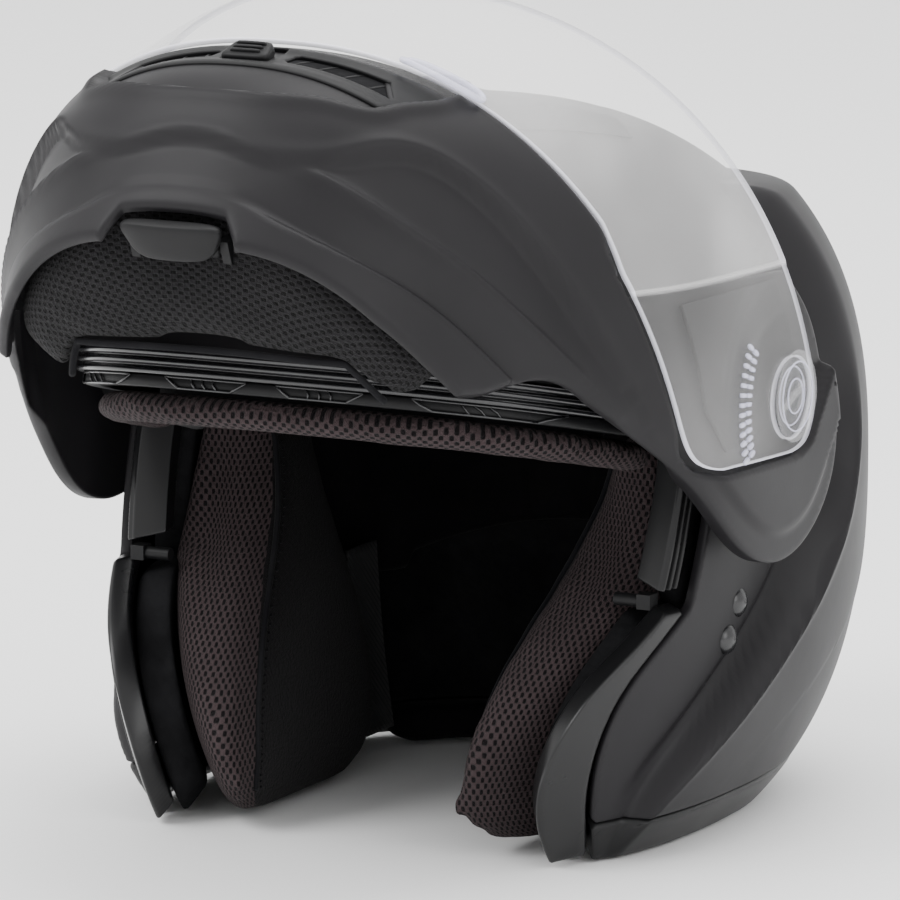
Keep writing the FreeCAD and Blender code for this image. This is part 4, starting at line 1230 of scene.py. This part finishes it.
def make_shield_details():
    for side, word in ((1.0, "left"), (-1.0, "right")):
        turning = lathe_part(HUB_RING, (side * 126.9, 0.0, PIVOT_Z), side, 56)
        bar = rounded_part(lambda a, b, c: (side * (130.7 + 0.8 * a), 1.4 * b, PIVOT_Z + 9.4 * c), 5)
        hub = joined("hub_ring_" + word, raised_parts([turning, bar]))
        finish(hub, "clear_detail", "shield", "clear_shield", "shield_hub_" + word)
        # Thin bright rings round the hub: painted highlights.
        rings = []
        for radius, x in ((11.6, 132.3), (9.8, 130.2), (5.8, 131.5)):
            ring = np.insert(circle(radius, 60, 0.0, PIVOT_Z), 0, side * x, axis=1)
            rings.append(tube_part(raised(ring), 0.32, 6, True))
        finish(joined("hub_glint_" + word, rings), "shield_glint", "shield", "clear_shield")

    def tooth(radius, angle, side):
        c, s = math.cos(angle), math.sin(angle)
        return rounded_part(lambda a, b, h: (side * (131.1 + 0.7 * h), (radius + 1.7 * a) * c - 0.75 * b * s,
                                             PIVOT_Z + (radius + 1.7 * a) * s + 0.75 * b * c), 3)

    # Teeth in the bright clear material: painted highlights on them.
    teeth = [tooth(radius, math.radians(216.0 + 4.6 * k), side)
             for radius in (36.0, 40.5) for k in range(13) for side in (1.0, -1.0)]
    finish(joined("shield_ratchet", raised_parts(teeth)), "shield_glint", "shield", "clear_shield")
    # Lift tab loop in the bright clear material: a painted highlight along it.
    across, up = circle(1.0, 48).T
    x = 57.5 + 12.5 * np.sign(across) * np.abs(across) ** 0.5
    z = 91.0 + 4.4 * np.sign(up) * np.abs(up) ** 0.6
    loop = raised_face(front_s(x, z), z, 1.4 + 2.4 * np.clip((92.0 - z) / 5.0, 0, 1))
    tab = joined("shield_lift_tab", [tube_part(loop, 1.1, 8, True)])
    finish(tab, "shield_glint", "shield", "clear_shield")


PLATE = [(-38.0, 167.0), (-62.0, 108.0), (-24.0, 102.0), (-5.0, 108.0), (9.0, 160.0), (-4.0, 167.0)]


def make_shield_plates():

    def height(u, v):
        radius = np.hypot(u - QUARTER, v - PIVOT_Z)
        steps = np.zeros(len(u))
        for k in range(3):
            steps += 0.35 * step_up(radius - 44.0 - 5.0 * k, -0.4, 0.4)
        return -3.7 + np.minimum(steps, 0.7) - 0.5 * bump(radius - 30.0, 2.0)

    plate = panel("base_plate_left", face_map(dense(PLATE, 2.5)), raised_face, 1.6, 0.8,
                  holes=[hinge_circle(14.0, 40)], height=height, depth=constant(-4.5), edge=0.4, both=False)
    finish_pair(plate, "dark", "chin_bar", "dark_plastic", "shield_plate")


# ---------------------------------------------------------------- eyeport strips and pads
def strip_path(below, grow, back_y, count=130):
    """Path round the eyeport below the brow edge: points, outward and upward directions."""
    left = brow_line(EYEPORT, below, grow, count, back_y)
    left[-1, 0] = 0.0
    place = np.vstack([left, (left[:-1] * [-1, 1, 1])[::-1]])
    run = np.gradient(place, axis=0)
    up = np.array([0.0, -BROW_SLOPE, 1.0])
    up = np.tile(unit(up), (len(place), 1))
    return place, unit(np.cross(up, run)), up


def make_eyeport():
    ribs = [(-7.6, 4.0), (-0.8, 4.0), (-0.3, 3.4), (-0.4, 2.4), (-1.8, 1.9), (-2.1, 1.3), (-0.7, 0.8),
            (-0.4, 0.1), (-0.7, -0.7), (-2.1, -1.1), (-2.0, -1.8), (-0.6, -2.3), (-0.3, -3.2),
            (-0.8, -4.0), (-7.6, -4.0)]
    gasket = sweep("brow_gasket", strip_path(4.4, 0.0, -22.0), ribs)
    finish(gasket, "rubber", "helmet", "gasket_rubber", "eyeport_gasket")
    path = strip_path(10.9, -3.0, -22.0)
    flat = [(-8.8, 2.0), (-0.8, 2.0), (-0.4, 1.6), (-0.4, -1.6), (-0.8, -2.0), (-8.8, -2.0)]
    strip = sweep("brow_strip", path, flat)
    finish(strip, "dark", "helmet", "dark_plastic", "brow_vent_strip")
    place, out, up = path

    def bar(xs, levels, radius):
        line = []
        for x, level in zip(xs, levels):
            k = int(np.argmin(np.abs(place[:, 0] - x) + (place[:, 1] > -60) * 500))
            line.append(place[k] + 0.1 * out[k] + level * up[k])
        return tube_part(line, radius, 6)

    bars = []
    for middle, half in ((21.0, 15.0), (71.0, 19.0), (-21.0, 15.0), (-71.0, 19.0)):
        xs = np.linspace(middle - half, middle + half, 14)
        bars += [bar(xs, [1.7] * 14, 0.45), bar(xs[2:-2], [-1.7] * 10, 0.45),
                 bar(xs[:3], (1.7, 0.0, -1.7), 0.45), bar(xs[:-4:-1], (1.7, 0.0, -1.7), 0.45)]
        for x in (middle - 4.0, middle, middle + 4.0):
            bars.append(bar((x - 1.2, x, x + 1.2), (1.5, 0.0, -1.5), 0.4))
    finish(joined("brow_strip_windows", bars), "gloss", "helmet", "dark_plastic")


def make_brow_pad():
    place, out, up = strip_path(19.3, -14.5, -31.0, 90)
    count = len(place)
    pad = tapered_sweep("brow_roll", place, out, up, np.full(count, 8.4), np.full(count, 5.2))
    inflate(pad, voxel=0.004, pressure=3.5, cap=0.004)
    points = vertices_mm(pad)
    radial = np.hypot(points[:, 0], points[:, 1] - CENTRE[1])
    drop = points[:, 2] - brow_z(points[:, 1])
    weave_map(pad, 130.0 * np.arctan2(points[:, 0], CENTRE[1] - points[:, 1]), drop + radial)
    finish(pad, "mesh", "helmet", "mesh_fabric", "brow_pad")


SEAL_INSET = -5.5
SEAL_TOP, SEAL_LOW = (-15.0, 136.8), (-28.6, 90.4)       # front edge in the side view
SEAL_WIDTH = 10.0
RIB_PITCH = 3.2


def make_side_seals():
    """Ribbed seals that stand up the sides of the face opening."""
    ends = [SEAL_TOP, (SEAL_TOP[0] - SEAL_WIDTH, SEAL_TOP[1]), (SEAL_LOW[0] - SEAL_WIDTH, SEAL_LOW[1]),
            SEAL_LOW]
    surface = form_surface(FLANK, SEAL_INSET)
    slope = (SEAL_LOW[0] - SEAL_TOP[0]) / (SEAL_TOP[1] - SEAL_LOW[1])

    def height(u, v):
        point = surface(u, v)
        lean = point[:, 1] - (SEAL_TOP[0] + slope * (SEAL_TOP[1] - point[:, 2]))
        return -1.0 + np.cos(2 * math.pi * (lean + SEAL_WIDTH / 2) / RIB_PITCH)

    outline = side_loop(dense(ends, 2.0), FLANK, SEAL_INSET)
    seal = panel("pillar_seal_left", outline, surface, 0.8, 13.0, height=height, depth=constant(-13.0),
                 edge=0.9, both=False)
    finish_pair(seal, "trim", "helmet", "gasket_rubber", "side_seal")


# ---------------------------------------------------------------- cheek pads
CHEEK_FRONT = [(-60.0, 2.0), (-68.0, 10.0), (-71.0, 25.0), (-65.0, 48.0), (-46.0, 75.0), (-24.0, 100.0),
               (-14.0, 122.0), (-12.0, 140.0)]
HEAD_GAP = [(-10.0, 40.0), (20.0, 41.0), (45.0, 43.0), (70.0, 50.0), (95.0, 59.0), (120.0, 66.0),
            (146.0, 69.0)]
cheek_front = cubic(*zip(*[(z, y) for y, z in CHEEK_FRONT]))
head_gap = cubic(*zip(*HEAD_GAP))
SEAM_DEPTH = 13.0


def cheek_place(a, b, c):
    """Cheek pad: a runs forwards, b up and c outwards."""
    z = 70.8 + 68.2 * b
    front, back = cheek_front(z) - 4.0 * bump(z - 24.0, 22.0), 40.0 - 10.0 * np.clip((16.0 - z) / 14.0, 0, 1)
    y = (front + back) / 2 - a * (back - front) / 2
    outer = form_x(FLANK, y, z, -23.2)
    inner = np.minimum(head_gap(z) + 0.4, outer - 8.0)
    return np.stack([(inner + outer) / 2 + c * (outer - inner) / 2, y, z], axis=-1)


def on_surface(tree, points, lift):
    """Points carried to the nearest place on a mesh, then lifted off it."""
    out = []
    for point in points:
        place, normal, _, _ = tree.find_nearest(Vector(point * MM))
        out.append(np.array(place) / MM + lift * np.array(normal))
    return np.array(out)


def make_cheek_pads():
    pad = pillow("cheek_cushion_left", cheek_place, 30, 7.0)
    inflate(pad, voxel=0.005, pressure=4.0, cap=0.006)
    points = vertices_mm(pad)
    behind = points[:, 1] - cheek_front(points[:, 2])
    middle = (head_gap(points[:, 2]) + form_x(FLANK, np.minimum(points[:, 1], 30), points[:, 2], -22.0)) / 2
    side = np.tanh((points[:, 0] - middle) / 4.0)
    seam = SEAM_DEPTH + 6.0 * np.clip(side, -1, 1) + 6.0
    line = np.array([(z, y) for y, z in CHEEK_FRONT])
    arc = np.concatenate([[0], np.cumsum(np.linalg.norm(np.diff(line, axis=0), axis=1))])
    along = np.interp(points[:, 2], line[:, 0], arc)
    weave_map(pad, points[:, 0] + behind * side, along, behind - seam)
    right = finish_pair(pad, "mesh", "helmet", "mesh_fabric", "cheek_pad")
    tree = BVHTree.FromObject(pad, bpy.context.evaluated_depsgraph_get())
    z = np.linspace(12.0, 128.0, 90)
    path = np.stack([head_gap(z) - 4.0, cheek_front(z) + SEAM_DEPTH, z], axis=1)
    pipe = tube_part(on_surface(tree, path, 0.3), 1.0, 8)
    stitches = []
    for k in range(0, 88, 2):
        pair = path[k:k + 2] + [0, 3.2, 0]
        ends = on_surface(tree, np.array([pair[0], (pair[0] + pair[1]) / 2]), 0.3)
        stitches.append(tube_part(ends, 0.45, 6))
    left = joined("cheek_seam_left", [pipe] + stitches)
    finish(left, "seam", "helmet", "plush_fabric")
    finish(mirror_copy(left, "cheek_seam_right"), "seam", "helmet", "plush_fabric")


BACKING_FRONT = [(-22.0, 84.0), (-40.0, 79.0), (-60.0, 56.0), (-66.0, 40.0), (-67.0, 25.0), (-62.0, 8.0),
                 (-56.0, 2.0)]


BACKING_INSET = -9.6
BOSS_ROOM = 24.8                    # radius of the hole round the hinge's boss


def make_cheek_backing():
    front = smooth_line(BACKING_FRONT[1:], 40)
    corners = dense([(34.0, 2.0), (40.0, 16.0), (40.0, 146.0), (-8.0, 146.0), (-22.0, 84.0)], 4.0)
    corners = corners[:-22]             # the side back to the front curve, which the curve replaces
    loop = np.vstack([front, corners])
    outline = side_loop(loop, FLANK, BACKING_INSET)
    boss = side_loop(circle(BOSS_ROOM, 40, 0.0, PIVOT_Z), FLANK, BACKING_INSET)
    left = panel("cheek_foam_left", outline, form_surface(FLANK, BACKING_INSET), 2.4, 11.6, holes=[boss],
                 edge=3.0, both=False)
    finish_pair(left, "foam", "helmet", "liner_foam", "cheek_backing")


# ---------------------------------------------------------------- inner pads
def make_crown_pad():
    brow = body_map(brow_line(CAVITY, 0.0, 9.6, 40, -20.0))[::-1]
    corners = dense([(-20.0, 149.0), (-6.0, 148.0), (41.0, 148.0), (44.0, 61.0), (100.0, 61.0)], 5.0)
    corners = corners[: int(len(corners) * 0.62)]
    keep = corners[corners[:, 1] > 60.0]
    side = side_loop(keep[keep[:, 0] < 92.0], CAVITY, 9.6)
    rear = side[-1] * [0, 1] + [-20.0, 0]
    outline = np.vstack([brow[0] * [0, 1] + [-20.0, 0], brow, side, rear])

    def height(u, v):
        return -0.5 - 1.5 * bump(np.abs(u) - 34.0, 3.0) - 1.5 * bump(u, 2.5)

    def depth(u, v):
        return -8.0 + 2.0 * bump(np.abs(u) - 34.0, 4.0) + 2.0 * bump(u, 4.0)

    pad = panel("crown_cushion", outline, form_surface(CAVITY, 9.6), 3.4, 8.0, height=height, depth=depth,
                edge=3.4)
    finish(pad, "plush", "helmet", "plush_fabric", "crown_pad")


def level_roll(form, grow, z, from_y, count=90):
    """Path round the back of a form at one height."""
    turn = np.linspace(-0.6, math.pi + 0.6, 400)
    direction = np.stack([np.cos(turn), np.sin(turn), np.zeros(400)], axis=1)
    rise = (form[3] if z > CENTRE[2] else form[4]) + grow
    scale = (1 - abs((z - CENTRE[2]) / rise) ** form[5]) ** (1 / form[5])
    radius = form_radius(direction, form, grow) * scale
    place = CENTRE + radius[:, None] * direction
    place[:, 2] = z
    place = smooth_line(place[place[:, 1] > from_y][::8], count)
    run = np.gradient(place, axis=0)
    up = np.tile([0.0, 0.0, 1.0], (count, 1))
    return place, unit(np.cross(run, up)), up


def make_neck_roll():
    place, out, up = level_roll(FLANK, -20.0, 8.8, 71.0)
    roll = tapered_sweep("neck_cushion", place, out, up, np.full(len(place), 9.6), np.full(len(place), 6.4))
    finish(roll, "plush", "helmet", "plush_fabric", "neck_roll")


def make_forehead_pad():
    line, out, up = strip_path(12.0, -25.6, -30.0, 60)
    flat = line - CENTRE
    dz = flat[:, 2].copy()
    flat[:, 2] = 0.0
    scale = (1 - np.abs(dz / (CAVITY[3] + 2.0)) ** CAVITY[5]) ** (1 / CAVITY[5])
    reach = form_radius(unit(flat), CAVITY, 2.0) * scale
    thickness = np.linalg.norm(flat, axis=1) - reach
    half = np.clip(thickness / 2, 3.0, 16.0)
    place = line - out * half[:, None]
    pad = tapered_sweep("forehead_cushion", place, out, up, half - 0.3, np.full(len(half), 11.3))
    finish(pad, "plush", "helmet", "plush_fabric", "forehead_pad")


# ---------------------------------------------------------------- straps, rivets and outer vents
STRAP_Y = (46.0, 68.0)


def ribbon(name, line, thickness=2.0):
    """Flat webbing along points in the front view, (X, Z)."""
    line = np.asarray(line, float)
    run = unit(np.gradient(line, axis=0))
    middle = (STRAP_Y[0] + STRAP_Y[1]) / 2
    place = np.stack([line[:, 0], np.full(len(line), middle), line[:, 1]], axis=1)
    out = np.stack([-run[:, 1], np.zeros(len(line)), run[:, 0]], axis=1)
    along_y = np.tile([0.0, 1.0, 0.0], (len(line), 1))
    half, t = (STRAP_Y[1] - STRAP_Y[0]) / 2 - 0.2, thickness / 2
    profile = [(-t, 0.7 - half), (-t * 0.5, -half), (t * 0.5, -half), (t, 0.7 - half), (t, half - 0.7),
               (t * 0.5, half), (-t * 0.5, half), (-t, half - 0.7)]
    return sweep(name, (place, out, along_y), profile)


def make_straps():
    turn = np.radians(np.linspace(50.0, 340.0, 26))
    loop = np.stack([53.0 + 4.9 * np.cos(turn), 30.0 + 4.9 * np.sin(turn)], axis=1)
    run = smooth_line([(58.0, 36.0), (60.0, 54.0), (60.8, 76.0)], 24)
    left = ribbon("strap_web_left", np.vstack([run[::-1], loop]), 1.7)
    finish(left, "webbing", "helmet", "webbing", "strap_left")
    hanging = smooth_line([(54.0, 10.5), (58.0, 40.0), (60.8, 76.0)], 30)
    right = ribbon("strap_web_right", [(-x, z) for x, z in hanging])
    finish(right, "webbing", "helmet", "webbing", "strap_right")


def make_rivets():
    profile = [(0.0, 3.4), (1.6, 3.2), (3.0, 2.7), (4.2, 2.0), (5.1, 1.0), (5.5, 0.0), (5.3, -0.9),
               (0.0, -1.0)]
    parts = []
    for x, y, z in ((110.0, 1.0, 81.5), (109.3, -5.5, 70.0)):
        for side in (1.0, -1.0):
            parts.append(lathe_part(profile, (side * x, y, z), side, 32))
    finish(joined("rivet_caps", parts), "gloss", "helmet", "dark_plastic", "strap_rivets")


def crown_map(points):
    """Plan view points, (X, Y), carried onto the body's flat map by the crown form."""
    points = dense(points, 3.0)
    x, y = points[:, 0], points[:, 1]
    half, front, rear, rise, _, power = CROWN
    along = np.where(y > CENTRE[1], rear, front)
    dz = rise * (1 - np.abs(x / half) ** power - np.abs((y - CENTRE[1]) / along) ** power) ** (1 / power)
    return body_map(np.stack([x, y, CENTRE[2] + dz], axis=1))


def make_outer_vents():
    front = smooth_line([(60.0, 22.0), (34.0, -22.0), (0.0, -52.0)], 30)
    back = smooth_line([(0.0, 20.0), (24.0, 12.0), (54.0, 38.0)], 30)
    outline = crown_map(np.vstack([[(-20.0, -50.0)], front[::-1], back[::-1], [(-20.0, 19.0)]]))
    track = crown_map([(-20.0, -16.6), (9.6, -16.6), (9.6, 6.6), (-20.0, 6.6)])

    def height(u, v):
        distance, _ = loop_distance(np.stack([np.abs(u), v], axis=1), outline)
        return 0.9 + 4.6 * step_up(-distance, 0.0, 13.0)

    cover = panel("crown_vent_cover", outline, form_surface(CROWN), 1.7, 3.0, holes=[track], height=height,
                  depth=constant(0.4), edge=0.6)
    finish(cover, "dark", "helmet", "shell_matte", "top_vent")
    parts = [rounded_part(lambda a, b, c: (9.0 * a, -1.0 + 7.0 * b, 248.1 + 2.0 * c), 8, 7.0)]
    for k in range(3):
        y = -3.6 + 2.6 * k
        parts.append(rounded_part(lambda a, b, c, y=y: (6.0 * a, y + 0.8 * b, 250.6 + 1.2 * c), 4))
    finish(joined("crown_vent_button", parts), "dark", "top_vent_slider", "dark_plastic", "top_vent_slider")
    window = dense([(-20.0, 150.0), (34.0, 150.0), (24.0, 172.0), (-20.0, 172.0)], 3.0)
    slots = [dense([(-20.0, z), (15.0, z), (15.0, z + 3.0), (-20.0, z + 3.0)], 2.0)
             for z in (155.0, 160.5, 166.0)]

    def from_rear(points):
        x, z = points[:, 0], points[:, 1]
        half, _, rear, rise, _, power = REAR
        y = rear * (1 - np.abs(x / half) ** power - np.abs((z - CENTRE[2]) / rise) ** power) ** (1 / power)
        return body_map(np.stack([x, CENTRE[1] + y, z], axis=1))

    vent = panel("rear_vent_cover", from_rear(window), body_point, 1.5, 2.4,
                 holes=[from_rear(slot) for slot in slots], height=constant(2.8), depth=constant(0.4),
                 edge=0.9)
    finish(vent, "dark", "helmet", "shell_matte", "rear_vent")


CAD_LOOKS = {
    "eps_liner": "foam", "chin_bar_liner": "foam", "chin_upper_seal": "rubber", "lever_bracket": "dark",
    "latch_hook_left": "steel", "latch_hook_right": "steel", "latch_striker_left": "dark",
    "latch_striker_right": "dark", "pivot_boss_left": "dark", "pivot_boss_right": "dark",
    "pivot_pin_left": "dark", "pivot_pin_right": "dark", "d_rings": "steel",
}


def dress_cad():
    for name, look in CAD_LOOKS.items():
        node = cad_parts[name]
        node.data.materials.clear()
        node.data.materials.append(MAT[look])


def make_details():
    make_chin_vent()
    make_release_lever()
    make_chin_pad()
    make_shield_details()
    make_shield_plates()
    make_eyeport()
    make_brow_pad()
    make_side_seals()
    make_cheek_pads()
    make_cheek_backing()
    make_crown_pad()
    make_neck_roll()
    make_forehead_pad()
    make_straps()
    make_rivets()
    make_outer_vents()
    dress_cad()


# ---------------------------------------------------------------- camera, lights and floor
def make_camera():
    """Camera where the object is seen from the front, a little above and to its left."""
    azimuth, elevation, distance = math.radians(27.0), math.radians(10.3), 3.0
    target = Vector((0.0, 0.006, 0.123))
    back = Vector((math.sin(azimuth) * math.cos(elevation), -math.cos(azimuth) * math.cos(elevation),
                   math.sin(elevation)))
    camera = bpy.data.cameras.new("camera")
    camera.sensor_width, camera.lens = 36.0, 354.0       # millimetres
    camera.clip_start, camera.clip_end = 0.05, 50.0
    obj = bpy.data.objects.new("camera", camera)
    obj.location = target + back * distance
    obj.rotation_euler = (-back).to_track_quat("-Z", "Y").to_euler()
    bpy.context.scene.collection.objects.link(obj)
    bpy.context.scene.camera = obj


def area_light(name, place, size, power):
    """Square light that faces the middle of the object."""
    light = bpy.data.lights.new(name, "AREA")
    light.shape = "RECTANGLE"
    light.size = light.size_y = size
    light.energy = power
    obj = bpy.data.objects.new(name, light)
    obj.location = place
    obj.rotation_euler = (Vector((0, 0, 0.15)) - Vector(place)).to_track_quat("-Z", "Y").to_euler()
    bpy.context.scene.collection.objects.link(obj)


def make_stage():
    """Pale floor that curves up behind, soft lights and a pale surround."""
    rows, half, front, back, curve, wall = 40, 6000.0, -4000.0, 5000.0, 1500.0, 6000.0
    points, faces = [], []
    for r in range(rows + 1):
        t = r / rows
        if t < 0.5:
            y, z = front + t * 2 * (back - front), 0.0
        else:
            angle = (t - 0.5) * math.pi
            y, z = back + curve * math.sin(angle), curve - curve * math.cos(angle)
        points += [(-half, y, z), (half, y, z)]
    points += [(x, y, z + wall) for x, y, z in points[-2:]]
    for a in range(0, 2 * rows + 1, 2):
        faces.append((a, a + 1, a + 3, a + 2))
    floor = make_mesh("floor", points, faces)
    look = Look("floor_pale")
    look.shade(Base_Color=(0.93, 0.93, 0.93), Roughness=0.6)
    floor.data.materials.append(look.material)
    world = bpy.data.worlds.new("studio")
    world.use_nodes = True
    background = world.node_tree.nodes["Background"]
    background.inputs["Color"].default_value = (1.0, 1.0, 1.0, 1)
    background.inputs["Strength"].default_value = 1.6
    bpy.context.scene.world = world
    area_light("key", (-1.4, -1.6, 2.2), 1.6, 62.0)
    area_light("fill", (2.2, -1.0, 1.0), 1.4, 16.0)
    area_light("top", (0.2, 0.4, 2.4), 1.8, 50.0)


make_outer_shell()
make_rim()
make_jaw_trim()
make_chin_shell()
make_shield()
make_details()
make_camera()
make_stage()
